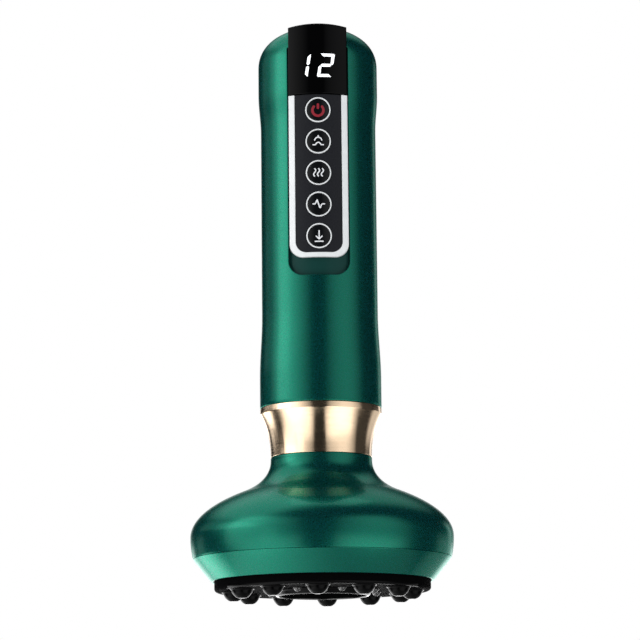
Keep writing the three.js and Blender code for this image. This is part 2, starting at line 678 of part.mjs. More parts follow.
function controlPanel() {
  const fit = CLEAR / 2;
  const blank = panelBlank(keyWidth - 2 * fit, keyFootZ + fit, keyCorner - fit, -PANEL_SUNK);
  const hole = crossRod(buttonRingRadius + fit, frontY, boardFaceY, RING_FACETS);
  return cut(blank, buttonZs.map((z) => hole.translate([0, 0, z])));
}

const capRadius = buttonRingRadius - BUTTON_RING_STROKE - RUNNING;

/** A ring set in the panel, its face following the grip; made round its own centre. */
function buttonRing(z) {
  const surface = gripRadius(z);
  const blank = slab(circleOutline(buttonRingRadius), -surface - OVERRUN, POCKET_DEPTH - surface);
  const bore = crossRod(buttonRingRadius - BUTTON_RING_STROKE, frontY, 0, RING_FACETS);
  const face = gripCore(BUTTON_RING_PROUD, gripFootZ).translate([0, 0, -z]);
  return blank.intersect(face).subtract(bore).translate([0, surface, 0]);
}

function circleOutline(radius) {
  const corners = Array.from({ length: RING_FACETS }, (_, i) => {
    const angle = (i * FULL_TURN) / RING_FACETS;
    return new THREE.Vector2(radius * Math.cos(angle), radius * Math.sin(angle));
  });
  return new THREE.Shape(corners);
}

const lipFaceDepth = POCKET_DEPTH + CLEAR;
const lipBackDepth = lipFaceDepth + BUTTON_LIP_THICKNESS;
const switchTopY = boardFaceY - CLEAR - SWITCH_HEIGHT - SWITCH_KEY_HEIGHT;
const stemEndY = switchTopY - BUTTON_TRAVEL - RUNNING;

/** A cap with a domed face, a keeper lip and a stem to its switch; its face is at y = 0. */
function buttonCap(z) {
  const stemEnd = stemEndY + gripRadius(z);
  const profile = [
    [0, -stemEnd],
    [BUTTON_STEM_RADIUS, -stemEnd],
    [BUTTON_STEM_RADIUS, -lipBackDepth],
    [capRadius + BUTTON_LIP, -lipBackDepth],
    [capRadius + BUTTON_LIP, -lipFaceDepth],
    [capRadius, -lipFaceDepth],
    [capRadius, 0],
    [capRadius * CROWN_MIDWAY_SHARES[0], BUTTON_CROWN * CROWN_MIDWAY_SHARES[1]],
    [0, BUTTON_CROWN],
  ];
  return turned(profile, RING_FACETS).rotate([90, 0, 0]);
}

/** A tactile switch, standing on the board with its key towards -Y; its foot is at y = 0. */
function keySwitch() {
  const half = SWITCH_SIDE / 2;
  const body = block([-half, -SWITCH_HEIGHT, -half], [half, 0, half]);
  const keyTop = -SWITCH_HEIGHT - SWITCH_KEY_HEIGHT;
  const key = crossRod(SWITCH_KEY_RADIUS, keyTop, -SWITCH_HEIGHT / 2, SMALL_FACETS);
  return body.add(key);
}

function displayModule() {
  const half = moduleWidth / 2;
  const windowBack = (gripRadius(windowFootZ) - POCKET_DEPTH + CLEAR) * Math.cos(Math.PI / GRIP_FACETS);
  const faceY = -(Math.sqrt(windowBack ** 2 - half ** 2) - CLEAR);
  const footZ = moduleZ - MODULE_HEIGHT / 2;
  const body = block([-half, faceY, footZ], [half, boardFaceY - CLEAR, footZ + MODULE_HEIGHT]);
  const margin = MODULE_FACE_MARGIN;
  const sunk = block(
    [margin - half, faceY - OVERRUN, footZ + margin],
    [half - margin, faceY + MODULE_FACE_SINK, footZ + MODULE_HEIGHT - margin],
  );
  return body.subtract(sunk);
}

// Inside the grip

function mainBoard() {
  const board = block([-boardHalf, boardFaceY, boardFootZ], [boardHalf, boardBackY, boardTopZ]);
  const hole = crossRod(bossHoleRadius, boardFaceY - OVERRUN, boardBackY + OVERRUN, SMALL_FACETS);
  return cut(board, frameScrewSpots.map(([x, z]) => hole.translate([x, 0, z])));
}

function innerFrame() {
  const spineFootZ = motorTopZ + MOTOR_CAP_HEIGHT + CLEAR;
  const spine = block([-boardHalf, frameFaceY, spineFootZ], [boardHalf, frameBackY, boardTopZ]);
  const hoopInner = BATTERY_RADIUS + CLEAR;
  const hoopOuter = hoopInner + FRAME_HOOP_WALL;
  const hoopZs = [batteryFootZ + FRAME_HOOP_INSET, batteryFootZ + BATTERY_LENGTH - FRAME_HOOP_INSET];
  const hoops = hoopZs.map((z) =>
    ring(hoopInner, hoopOuter, z, z + FRAME_HOOP_HEIGHT, RING_FACETS).translate([0, batteryY, 0]),
  );
  const motorHoopInner = motorRadius + CLEAR;
  const hoopFootZ = motorTopZ - MOTOR_HOOP_HEIGHT;
  const motorHoop = ring(
    motorHoopInner,
    motorHoopInner + MOTOR_HOOP_WALL,
    hoopFootZ,
    spineFootZ + FRAME_THICKNESS,
    RING_FACETS,
  );
  const hole = crossRod(bossHoleRadius, frameFaceY - OVERRUN, frameBackY + OVERRUN, SMALL_FACETS);
  const holes = frameScrewSpots.map(([x, z]) => hole.translate([x, 0, z]));
  return cut(joined(spine, [motorHoop, ...hoops]), [batteryCore(CLEAR), ...holes]);
}

/** A pan-head screw that points towards -Y; the underside of its head is at y = 0. */
function frameScrew() {
  const reach = frameBackY + CLEAR - boardFaceY + FRAME_SCREW_BITE;
  const head = crossRod(FRAME_SCREW_HEAD_RADIUS, 0, FRAME_SCREW_HEAD_HEIGHT, SMALL_FACETS);
  return head.add(crossRod(FRAME_SCREW_RADIUS, -reach, FRAME_SCREW_HEAD_HEIGHT / 2, SMALL_FACETS));
}

function batteryCore(spare) {
  const top = batteryFootZ + BATTERY_LENGTH;
  const can = rod(BATTERY_RADIUS + spare, batteryFootZ - spare, top + spare, RING_FACETS);
  return can.translate([0, batteryY, 0]);
}

function batteryCell() {
  const top = batteryFootZ + BATTERY_LENGTH;
  const button = rod(BATTERY_BUTTON_RADIUS, top - OVERRUN, top + BATTERY_BUTTON_HEIGHT, SMALL_FACETS);
  return batteryCore(0).add(button.translate([0, batteryY, 0]));
}

function chargeBoard() {
  const half = CHARGE_BOARD_WIDTH / 2;
  return block([-half, chargeBoardFrontY, chargeBoardFootZ], [half, chargeBoardBackY, chargeBoardTopZ]);
}

function usbSocket() {
  const wall = 2 * SOCKET_WALL;
  const shell = slab(slotOutline(SOCKET_WIDTH, SOCKET_HEIGHT, socketZ), socketBackY, socketFaceY);
  const inside = slotOutline(SOCKET_WIDTH - wall, SOCKET_HEIGHT - wall, socketZ);
  const hollow = slab(inside, socketBackY + SOCKET_BACK, socketFaceY + OVERRUN);
  const tongue = block(
    [-SOCKET_TONGUE_WIDTH / 2, socketBackY, socketZ - SOCKET_TONGUE_HEIGHT / 2],
    [SOCKET_TONGUE_WIDTH / 2, socketFaceY - SOCKET_TONGUE_SHORT, socketZ + SOCKET_TONGUE_HEIGHT / 2],
  );
  return shell.subtract(hollow).add(tongue);
}

// Collar, head and band

function goldCollar() {
  const topRadius = gripFootRadius + COLLAR_PROUD;
  const bore = spigotRadius + CLEAR;
  const profile = [[bore, collarFootZ]];
  for (let i = 0; i <= COLLAR_STEPS; i += 1) {
    const share = i / COLLAR_STEPS;
    const radius = neckRadius + (topRadius - neckRadius) * share ** COLLAR_FLARE_POWER;
    profile.push([radius, collarFootZ + COLLAR_FLARE_RISE * share]);
  }
  profile.push([topRadius, collarTopZ], [bore, collarTopZ]);
  return turned(profile, GRIP_FACETS);
}

/** The head's outer line from its rim to its neck: belly, shoulder and hollow as three curves. */
function headLine() {
  const hollowStart = [SHOULDER_RADIUS, shoulderZ];
  const belly = new THREE.QuadraticBezierCurve(
    new THREE.Vector2(rimRadius, headFootZ),
    new THREE.Vector2(HEAD_RADIUS, (headFootZ + bellyZ) / 2),
    new THREE.Vector2(HEAD_RADIUS, bellyZ),
  );
  const shoulder = new THREE.CubicBezierCurve(
    new THREE.Vector2(HEAD_RADIUS, bellyZ),
    new THREE.Vector2(HEAD_RADIUS, bellyZ + BELLY_PULL),
    new THREE.Vector2(
      hollowStart[0] + HOLLOW_REACH * SHOULDER_PULL_SHARE,
      hollowStart[1] - HOLLOW_DROP * SHOULDER_PULL_SHARE,
    ),
    new THREE.Vector2(...hollowStart),
  );
  const hollow = new THREE.CubicBezierCurve(
    new THREE.Vector2(...hollowStart),
    new THREE.Vector2(hollowStart[0] - HOLLOW_REACH, hollowStart[1] + HOLLOW_DROP),
    new THREE.Vector2(neckRadius, neckZ - NECK_PULL),
    new THREE.Vector2(neckRadius, neckZ),
  );
  return [
    ...belly.getPoints(2),
    ...shoulder.getPoints(HEAD_CURVE_STEPS).slice(1),
    ...hollow.getPoints(HEAD_CURVE_STEPS).slice(1),
  ].map((point) => [point.x, point.y]);
}

/** The same line moved in by the wall, square to itself. */
function movedIn(line, wall) {
  return line.map(([r, z], i) => {
    const [r0, z0] = line[Math.max(i - 1, 0)];
    const [r1, z1] = line[Math.min(i + 1, line.length - 1)];
    const length = Math.hypot(r1 - r0, z1 - z0);
    return [r - (wall * (z1 - z0)) / length, z + (wall * (r1 - r0)) / length];
  });
}

const screwStart = FULL_TURN / 8;

function headShell() {
  const outer = headLine();
  const inner = movedIn(outer, HEAD_WALL).filter((_, i) => i % 2 === 0);
  inner[0][1] = headFootZ;
  const flange = spigotRadius + SPIGOT_FLANGE;
  const spigot = [
    [neckRadius, headTopZ],
    [spigotRadius, headTopZ],
    [spigotRadius, spigotFlangeZ],
    [flange, spigotFlangeZ],
    [flange, spigotTopZ],
    [spigotBore, spigotTopZ],
    [spigotBore, headTopZ],
  ];
  const shell = turned([...outer, ...spigot, ...inner.reverse()], HEAD_FACETS);
  const bossFootZ = carrierTopZ + CLEAR;
  const rimInside = rimRadius - HEAD_WALL;
  const within = turned([[0, bossFootZ], [rimInside, bossFootZ], ...outer, [0, neckZ]], HEAD_FACETS);
  const boss = rod(SCREW_BOSS_RADIUS, bossFootZ, shoulderZ, SMALL_FACETS);
  const pilotTop = carrierTopZ + SCREW_BITE + CLEAR;
  const pilot = rod(SCREW_RADIUS + CLEAR, bossFootZ - OVERRUN, pilotTop, SMALL_FACETS);
  const rods = aroundCircle(boss, screwCircle, SCREW_COUNT, screwStart);
  const bosses = rods.map((made) => made.intersect(within));
  return cut(joined(shell, bosses), aroundCircle(pilot, screwCircle, SCREW_COUNT, screwStart));
}

function rimBand() {
  const profile = [
    [bandBoreRadius, bandFootZ],
    [bandFootRadius, bandFootZ],
    [rimRadius, bandTopZ],
    [ledgeRadius, bandTopZ],
    [ledgeRadius, bandLedgeZ],
    [bandBoreRadius, bandLedgeZ],
  ];
  return turned(profile, HEAD_FACETS);
}

// Pad, bowl and carrier

/** A knob hanging from the pad's face, flat at its tip. */
function knob(radius, height, flat, steps, facets) {
  const profile = [[0, padPlateTopZ], [radius, padPlateTopZ]];
  for (let i = 0; i <= steps; i += 1) {
    const angle = (QUARTER_TURN * i) / steps;
    profile.push([flat + (radius - flat) * Math.cos(angle), padFaceZ - height * Math.sin(angle)]);
  }
  if (flat > 0) profile.push([0, padFaceZ - height]);
  return turned(profile, facets);
}

function massagePad() {
  const lipInner = padBoreRadius - LIP_WALL / 2;
  const lipTipZ = padFaceZ - LIP_HEIGHT;
  const edge = [];
  for (let i = 0; i <= PAD_EDGE_STEPS; i += 1) {
    const angle = (QUARTER_TURN * i) / PAD_EDGE_STEPS;
    edge.push([
      padRadius - PAD_EDGE_ROUND * (1 - Math.sin(angle)),
      padFaceZ + PAD_EDGE_ROUND * (1 - Math.cos(angle)),
    ]);
  }
  const profile = [
    [lipInner, lipTipZ],
    [lipInner + LIP_WALL / 2, lipTipZ],
    [lipInner + LIP_WALL, padFaceZ],
    ...edge,
    [padRadius, padTopZ],
    [padRadius - PAD_SKIRT, padTopZ],
    [padRadius - PAD_SKIRT, padPlateTopZ],
    [padBoreRadius + LIP_WALL, padPlateTopZ],
    [padBoreRadius + LIP_WALL, padTopZ],
    [padBoreRadius, padTopZ],
    [padBoreRadius, bowlFootZ - CLEAR],
    [lipInner, bowlFootZ - CLEAR],
  ];
  const plate = turned(profile, HEAD_FACETS);
  const large = knob(KNOB_RADIUS, KNOB_HEIGHT, KNOB_FLAT, KNOB_STEPS, KNOB_FACETS);
  const small = knob(SMALL_KNOB_RADIUS, SMALL_KNOB_HEIGHT, 0, SMALL_KNOB_STEPS, SMALL_KNOB_FACETS);
  const start = -QUARTER_TURN - THREE.MathUtils.degToRad(PAD_TURN);
  const smallStart = start + FULL_TURN / SMALL_KNOB_COUNT / 2;
  return joined(plate, [
    ...aroundCircle(large, bowlRadius + padRing * KNOB_SHARE, KNOB_COUNT, start),
    ...aroundCircle(small, bowlRadius + padRing * SMALL_KNOB_SHARE, SMALL_KNOB_COUNT, smallStart),
  ]);
}

function bowlDome(radius, rise, top) {
  const line = [];
  for (let i = 1; i <= BOWL_STEPS; i += 1) {
    const angle = (QUARTER_TURN * i) / BOWL_STEPS;
    const r = radius * Math.cos(angle);
    if (r > top) line.push([r, bowlShoulderZ + rise * Math.sin(angle)]);
  }
  return line;
}

function suctionBowl() {
  const roofZ = bowlTopZ + BOWL_WALL;
  const flangeTopZ = bowlFlangeZ + BOWL_FLANGE_THICKNESS;
  const outerRise = BOWL_DOME + BOWL_WALL;
  const flangeShare = THREE.MathUtils.clamp((flangeTopZ - bowlShoulderZ) / outerRise, 0, 1);
  const profile = [
    [bowlRadius, bowlFootZ],
    [bowlOuterRadius, bowlFootZ],
    [bowlOuterRadius, bowlFlangeZ],
    [bowlFlangeRadius, bowlFlangeZ],
    [bowlFlangeRadius, flangeTopZ],
    [bowlOuterRadius * Math.sqrt(1 - flangeShare ** 2), flangeTopZ],
    ...bowlDome(bowlOuterRadius, outerRise, NIPPLE_RADIUS).filter(([, z]) => z > flangeTopZ),
    [NIPPLE_RADIUS, roofZ],
    [NIPPLE_RADIUS, nippleTopZ],
    [PORT_RADIUS, nippleTopZ],
    [PORT_RADIUS, bowlTopZ],
    ...bowlDome(bowlRadius, BOWL_DOME, PORT_RADIUS).reverse(),
    [bowlRadius, bowlShoulderZ],
  ];
  return turned(profile, BOWL_FACETS);
}

function bowlSeal() {
  return ring(padBoreRadius, padBoreRadius + SEAL_WIDTH, sealFootZ, sealFootZ + SEAL_HEIGHT, BOWL_FACETS);
}

function suctionFilter() {
  const topZ = bowlTopZ - FILTER_DROP;
  const radius = bowlRadius * FILTER_SHARE;
  const disc = rod(radius, topZ - FILTER_THICKNESS, topZ, RING_FACETS);
  const hole = rod(FILTER_HOLE_RADIUS, topZ - FILTER_THICKNESS - OVERRUN, topZ + OVERRUN, SMALL_FACETS / 2);
  return cut(disc, [hole, ...aroundCircle(hole, radius * FILTER_HOLE_SHARE, FILTER_HOLES, 0)]);
}

function padCarrier() {
  const plate = ring(padBoreRadius, padRadius, carrierFootZ, carrierTopZ, HEAD_FACETS);
  const foot = carrierFootZ - OVERRUN;
  const top = carrierTopZ + OVERRUN;
  const screwHole = rod(SCREW_RADIUS + CLEAR, foot, top, SMALL_FACETS);
  const contactHole = rod(CONTACT_RADIUS + CLEAR, foot, top, SMALL_FACETS);
  return cut(plate, [
    ...aroundCircle(screwHole, screwCircle, SCREW_COUNT, screwStart),
    ...aroundCircle(contactHole, screwCircle, 2, QUARTER_TURN),
  ]);
}

/** A carrier screw that points up; the top of its head is at z = 0. */
function carrierScrew() {
  const head = rod(SCREW_HEAD_RADIUS, -SCREW_HEAD_HEIGHT, 0, SMALL_FACETS);
  const reach = CLEAR + CARRIER_THICKNESS + SCREW_BITE;
  return head.add(rod(SCREW_RADIUS, -SCREW_HEAD_HEIGHT / 2, reach, SMALL_FACETS));
}

function heaterPlate() {
  const inner = padBoreRadius + LIP_WALL + CLEAR;
  const foot = padPlateTopZ + CLEAR;
  return ring(inner, inner + padRing * HEATER_SHARE, foot, foot + HEATER_THICKNESS, HEAD_FACETS);
}

function ledBoard() {
  const inner = bowlFlangeRadius + CLEAR;
  const foot = carrierTopZ + CLEAR;
  const top = foot + LED_BOARD_THICKNESS;
  const board = ring(inner, ledBoardRadius, foot, top, BOWL_FACETS);
  const half = LED_SIDE / 2;
  const lamp = block([-half, -half, foot], [half, half, top + LED_HEIGHT]);
  return joined(board, aroundCircle(lamp, inner + LED_SIDE, LED_COUNT, FULL_TURN / LED_COUNT / 2));
}

function padContact() {
  return rod(CONTACT_RADIUS, padPlateTopZ + CLEAR, carrierTopZ + CONTACT_TOP, SMALL_FACETS);
}

// Air path

function airTee() {
  const branch = new THREE.CylinderGeometry(NIPPLE_RADIUS, NIPPLE_RADIUS, TEE_BRANCH_REACH, SMALL_FACETS);
  const boreReach = TEE_BRANCH_REACH + OVERRUN;
  const branchBore = new THREE.CylinderGeometry(PORT_RADIUS, PORT_RADIUS, boreReach, SMALL_FACETS);
  const lay = (geometry, length) => solid(geometry.rotateZ(QUARTER_TURN).translate(length / 2, 0, branchZ));
  const leg = rod(NIPPLE_RADIUS, teeFootZ, teeTopZ, SMALL_FACETS);
  const bore = rod(PORT_RADIUS, teeFootZ - OVERRUN, teeTopZ + OVERRUN, SMALL_FACETS);
  return cut(leg.add(lay(branch, TEE_BRANCH_REACH)), [bore, lay(branchBore, boreReach)]);
}

function straightHose(foot, top) {
  return ring(hoseBore, hoseBore + HOSE_WALL, foot, top, SMALL_FACETS);
}

const valveNippleZ = valveFootZ + VALVE_NIPPLE_RISE;

function valveHose() {
  const startX = TEE_BRANCH_REACH - HOSE_LAP;
  const endX = valveInnerX - VALVE_NIPPLE_REACH + HOSE_LAP;
  const middleX = (startX + endX) / 2;
  const path = new THREE.CubicBezierCurve3(
    new THREE.Vector3(startX + HOSE_LAP, 0, branchZ),
    new THREE.Vector3(middleX + HOSE_LAP, 0, branchZ),
    new THREE.Vector3(middleX - HOSE_LAP, 0, valveNippleZ),
    new THREE.Vector3(endX - HOSE_LAP, 0, valveNippleZ),
  );
  const points = [
    new THREE.Vector3(startX, 0, branchZ),
    ...path.getPoints(VALVE_HOSE_BENDS),
    new THREE.Vector3(endX, 0, valveNippleZ),
  ];
  return hose(new THREE.CatmullRomCurve3(points), hoseBore, hoseBore + HOSE_WALL, VALVE_HOSE_STEPS);
}

function valveBody() {
  const halfLength = VALVE_LENGTH / 2;
  const body = block(
    [valveInnerX, -halfLength, valveFootZ],
    [valveOuterX, halfLength, valveTopZ],
  );
  const nippleLength = VALVE_NIPPLE_REACH + OVERRUN;
  const nipple = new THREE.CylinderGeometry(NIPPLE_RADIUS, NIPPLE_RADIUS, nippleLength, SMALL_FACETS);
  const nippleX = valveInnerX + OVERRUN - nippleLength / 2;
  const boreLength = valveX - valveInnerX + VALVE_NIPPLE_REACH + OVERRUN;
  const port = new THREE.CylinderGeometry(PORT_RADIUS, PORT_RADIUS, boreLength, SMALL_FACETS);
  const portX = valveX - boreLength / 2;
  const shaftBore = rod(PLUNGER_RADIUS + RUNNING, valveFootZ - OVERRUN, valveTopZ + OVERRUN, SMALL_FACETS);
  return cut(body.add(solid(nipple.rotateZ(QUARTER_TURN).translate(nippleX, 0, valveNippleZ))), [
    solid(port.rotateZ(QUARTER_TURN).translate(portX, 0, valveNippleZ)),
    shaftBore.translate([valveX, 0, 0]),
  ]);
}

const springOuter = PLUNGER_RADIUS + RUNNING + 2 * SPRING_WIRE + RUNNING;
const springCentre = PLUNGER_RADIUS + RUNNING + SPRING_WIRE;
const plungerHeadZ = valveTopZ + SPRING_LENGTH + 2 * RUNNING;

/** The valve's plunger, made round its own axis. */
function valvePlunger() {
  const foot = valveFootZ + PLUNGER_FOOT_RISE;
  const top = plungerHeadZ + PLUNGER_HEAD_HEIGHT;
  const headRadius = Math.max(PLUNGER_HEAD_RADIUS, springOuter);
  return rod(PLUNGER_RADIUS, foot, top, SMALL_FACETS).add(rod(headRadius, plungerHeadZ, top, SMALL_FACETS));
}

/** The return spring: one round wire wound upwards, worked out turn by turn. */
class Winding extends THREE.Curve {
  constructor(radius, foot, top, turns) {
    super();
    Object.assign(this, { radius, foot, top, turns });
  }

  getPoint(share, target = new THREE.Vector3()) {
    const angle = share * this.turns * FULL_TURN;
    const z = this.foot + (this.top - this.foot) * share;
    return target.set(this.radius * Math.cos(angle), this.radius * Math.sin(angle), z);
  }
}

function valveSpring() {
  const foot = valveTopZ + RUNNING + SPRING_WIRE;
  const top = plungerHeadZ - RUNNING - SPRING_WIRE;
  const path = new Winding(springCentre, foot, top, SPRING_TURNS);
  const wire = new THREE.Shape();
  for (let i = 0; i < SPRING_SIDES; i += 1) {
    const angle = (i * FULL_TURN) / SPRING_SIDES;
    const point = [SPRING_WIRE * Math.cos(angle), SPRING_WIRE * Math.sin(angle)];
    if (i === 0) wire.moveTo(...point);
    else wire.lineTo(...point);
  }
  wire.closePath();
  return solid(new THREE.ExtrudeGeometry(wire, { steps: SPRING_TURNS * SPRING_STEPS, extrudePath: path }));
}

// Pump

function pumpHead() {
  const body = rod(pumpHeadRadius, pumpFootZ, pumpTopZ, RING_FACETS);
  const nipple = rod(NIPPLE_RADIUS, pumpNippleZ, pumpFootZ + OVERRUN, SMALL_FACETS);
  return cut(body.add(nipple), [
    rod(chamberRadius, chamberFootZ, chamberTopZ, RING_FACETS),
    rod(PORT_RADIUS, pumpNippleZ - OVERRUN, chamberFootZ + OVERRUN, SMALL_FACETS),
    rod(SHAFT_RADIUS + CLEAR, chamberTopZ - OVERRUN, pumpTopZ + OVERRUN, SMALL_FACETS),
  ]);
}

const eccentricTopZ = chamberTopZ - ECCENTRIC_DROP;
const eccentricFootZ = eccentricTopZ - ECCENTRIC_HEIGHT;

/** The motor's shaft with the crank disc set off its axis. */
function pumpEccentric() {
  const disc = rod(chamberRadius * ECCENTRIC_SHARE, eccentricFootZ, eccentricTopZ, RING_FACETS);
  const shaft = rod(SHAFT_RADIUS, eccentricFootZ, motorFootZ + SHAFT_IN_MOTOR, SMALL_FACETS);
  return disc.translate([ECCENTRIC_OFFSET, 0, 0]).add(shaft);
}

function pumpDiaphragm() {
  const foot = chamberFootZ + CLEAR;
  const hubTop = eccentricFootZ - CLEAR;
  const radius = chamberRadius * DIAPHRAGM_SHARE;
  const profile = [
    [0, foot],
    [radius, foot],
    [radius, foot + DIAPHRAGM_THICKNESS],
    [DIAPHRAGM_HUB_RADIUS, foot + 2 * DIAPHRAGM_THICKNESS],
    [DIAPHRAGM_HUB_RADIUS, hubTop],
    [0, hubTop],
  ];
  return turned(profile, RING_FACETS);
}

function pumpMotor() {
  const body = rod(motorRadius, motorFootZ, motorTopZ, RING_FACETS);
  const cap = rod(MOTOR_CAP_RADIUS, motorTopZ - OVERRUN, motorTopZ + MOTOR_CAP_HEIGHT, SMALL_FACETS);
  const boreTop = motorFootZ + SHAFT_IN_MOTOR + CLEAR;
  const bore = rod(SHAFT_RADIUS + RUNNING, motorFootZ - OVERRUN, boreTop, SMALL_FACETS);
  return body.add(cap).subtract(bore);
}

function pumpDamper() {
  const foot = pumpFootZ + DAMPER_RISE;
  return ring(pumpHeadRadius + CLEAR, spigotBore - CLEAR, foot, foot + DAMPER_LENGTH, RING_FACETS);
}

// Materials, in the photograph's colours

function material(color, roughness, metalness) {
  return new THREE.MeshStandardMaterial({ color, roughness, metalness });
}

const greenLacquer = material(0x1f7a5c, 0.22, 0.35);
const goldPlate = material(0xe0b483, 0.16, 1);
const blackGloss = material(0x0b0b0c, 0.08, 0);
const brightTrim = material(0xf2f4f5, 0.15, 0.9);
const panelFilm = material(0x26272b, 0.6, 0);
const capPlastic = material(0x17181a, 0.25, 0);
const padRubber = material(0x0a0a0b, 0.35, 0);
const smokedPlastic = material(0x1a0d0e, 0.12, 0);
const boardGreen = material(0x0f5132, 0.5, 0);
const nylon = material(0xd9d6cf, 0.6, 0);
const cellWrap = material(0x2f6fb0, 0.4, 0);
const steel = material(0xb9bcc0, 0.3, 1);
const brass = material(0xc9a45a, 0.3, 1);
const silicone = material(0xe8e6e1, 0.5, 0);
const whiteBlock = material(0xe9ebec, 0.5, 0);
const aluminium = material(0xc9ccd0, 0.35, 1);

// The scene graph

const massager = new THREE.Group();

function place(name, made, finish, parent = massager) {
  const mesh = new THREE.Mesh(geometryOf(made), finish);
  mesh.name = name;
  parent.add(mesh);
  return mesh;
}

const handle = new THREE.Group();
massager.add(handle);
place("handle_front_shell", handleFrontShell(), greenLacquer, handle);
place("handle_rear_shell", handleRearShell(), greenLacquer, handle);
place("display_window", displayWindow(), blackGloss, handle);
place("display_module", displayModule(), whiteBlock, handle);
place("panel_bezel", panelBezel(), brightTrim, handle);
place("control_panel", controlPanel(), panelFilm, handle);
place("main_board", mainBoard(), boardGreen, handle);
place("inner_frame", innerFrame(), nylon, handle);
place("battery_cell", batteryCell(), cellWrap, handle);
place("charge_board", chargeBoard(), boardGreen, handle);
place("usb_socket", usbSocket(), steel, handle);

BUTTONS.forEach((use, i) => {
  const z = buttonZs[i];
  place(`ring_${use}`, buttonRing(z), brightTrim, handle).position.set(0, -gripRadius(z), z);
  place(`button_${use}`, buttonCap(z), capPlastic, handle).position.set(0, -gripRadius(z), z);
  place(`switch_${use}`, keySwitch(), blackGloss, handle).position.set(0, boardFaceY - CLEAR, z);
});

frameScrewSpots.forEach(([x, z], i) => {
  place(`frame_screw_${i + 1}`, frameScrew(), steel, handle).position.set(x, frameBackY + CLEAR, z);
});

place("gold_collar", goldCollar(), goldPlate);

const head = new THREE.Group();
massager.add(head);
place("head_shell", headShell(), greenLacquer, head);
place("rim_band", rimBand(), greenLacquer, head);
place("massage_pad", massagePad(), padRubber, head);
place("pad_carrier", padCarrier(), nylon, head);
place("suction_bowl", suctionBowl(), smokedPlastic, head);
place("bowl_seal", bowlSeal(), silicone, head);
place("suction_filter", suctionFilter(), steel, head);
place("heater_plate", heaterPlate(), aluminium, head);
place("led_board", ledBoard(), whiteBlock, head);
place("pad_contact_rear", padContact(), brass, head).position.set(0, screwCircle, 0);
place("pad_contact_front", padContact(), brass, head).position.set(0, -screwCircle, 0);
for (let i = 0; i < SCREW_COUNT; i += 1) {
  const angle = screwStart + (i * FULL_TURN) / SCREW_COUNT;
  const spot = [screwCircle * Math.cos(angle), screwCircle * Math.sin(angle), carrierFootZ - CLEAR];
  place(`carrier_screw_${i + 1}`, carrierScrew(), steel, head).position.set(...spot);
}

const airPath = new THREE.Group();
massager.add(airPath);
place("air_tee", airTee(), nylon, airPath);
place("bowl_hose", straightHose(nippleTopZ - HOSE_LAP, teeFootZ + HOSE_LAP), silicone, airPath);
place("pump_hose", straightHose(teeTopZ - HOSE_LAP, pumpNippleZ + HOSE_LAP), silicone, airPath);
place("valve_hose", valveHose(), silicone, airPath);
place("release_valve_body", valveBody(), steel, airPath);
place("release_valve_plunger", valvePlunger(), steel, airPath).position.set(valveX, 0, 0);
place("release_valve_spring", valveSpring(), steel, airPath).position.set(valveX, 0, 0);

const pump = new THREE.Group();
massager.add(pump);
place("pump_head", pumpHead(), nylon, pump);
place("pump_eccentric", pumpEccentric(), steel, pump);
place("pump_diaphragm", pumpDiaphragm(), silicone, pump);
place("pump_motor", pumpMotor(), steel, pump);
place("pump_damper", pumpDamper(), silicone, pump);

export default massager;
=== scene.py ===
# %% [markdown]
# # Electric cupping massager
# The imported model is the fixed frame: its nodes give the sizes, the bodies and what carries what.
# This lesson dresses that frame. It measures in millimetres, because the object was drawn in them,
# and turns them into Blender's metres in one place, where a mesh is made.

# %% Frame
import json
import math

import bpy
import numpy as np
from mathutils import Matrix


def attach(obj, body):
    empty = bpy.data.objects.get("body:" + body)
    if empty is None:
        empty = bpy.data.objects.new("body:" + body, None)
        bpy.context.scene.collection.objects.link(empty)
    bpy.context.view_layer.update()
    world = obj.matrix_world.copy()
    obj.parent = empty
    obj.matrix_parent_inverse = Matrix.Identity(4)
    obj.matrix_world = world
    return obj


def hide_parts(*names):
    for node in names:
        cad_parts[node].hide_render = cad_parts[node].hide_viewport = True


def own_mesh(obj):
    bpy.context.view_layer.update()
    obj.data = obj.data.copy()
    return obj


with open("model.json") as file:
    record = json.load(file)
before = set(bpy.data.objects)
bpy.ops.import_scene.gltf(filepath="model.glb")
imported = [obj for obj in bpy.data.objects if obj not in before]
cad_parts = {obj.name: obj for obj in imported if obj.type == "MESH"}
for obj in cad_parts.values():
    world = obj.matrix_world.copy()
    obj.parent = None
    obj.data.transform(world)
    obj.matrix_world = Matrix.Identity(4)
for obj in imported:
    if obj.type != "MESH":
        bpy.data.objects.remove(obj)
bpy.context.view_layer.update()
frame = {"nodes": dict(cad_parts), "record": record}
MM = 0.001
HANDLE = "massager_body"
SLOT_OF_NODE = {row["node"]: row["material_slot"] for row in frame["record"]["subparts"]}

# %% [markdown]
# ## Camera
# The photograph looks up at the massager from a little below its foot, through a long lens.
# The camera could be placed by eye, but its height, its pitch and its focal length follow from
# the ellipses of the collar and of the rim, so the numbers come from them. The object leans by half
# a degree in the picture, which is a turn of the camera about its own axis.


# %% Camera
def placed(name, data):
    """An object that holds the data, linked to the scene."""
    made = bpy.data.objects.new(name, data)
    bpy.context.scene.collection.objects.link(made)
    return made


CAMERA_AT = (0.0, -1.0, -0.0715)
CAMERA_PITCH, CAMERA_ROLL = math.radians(10.1), math.radians(-0.57)
LENS_MM = 149.8
camera = placed("camera", bpy.data.cameras.new("camera"))
camera.data.lens = LENS_MM
camera.matrix_world = (
    Matrix.Translation(CAMERA_AT)
    @ Matrix.Rotation(math.pi / 2 + CAMERA_PITCH, 4, "X")
    @ Matrix.Rotation(CAMERA_ROLL, 4, "Z")
)
bpy.context.scene.camera = camera
bpy.context.scene.view_settings.view_transform = "Standard"
print("camera lens", LENS_MM, "mm")

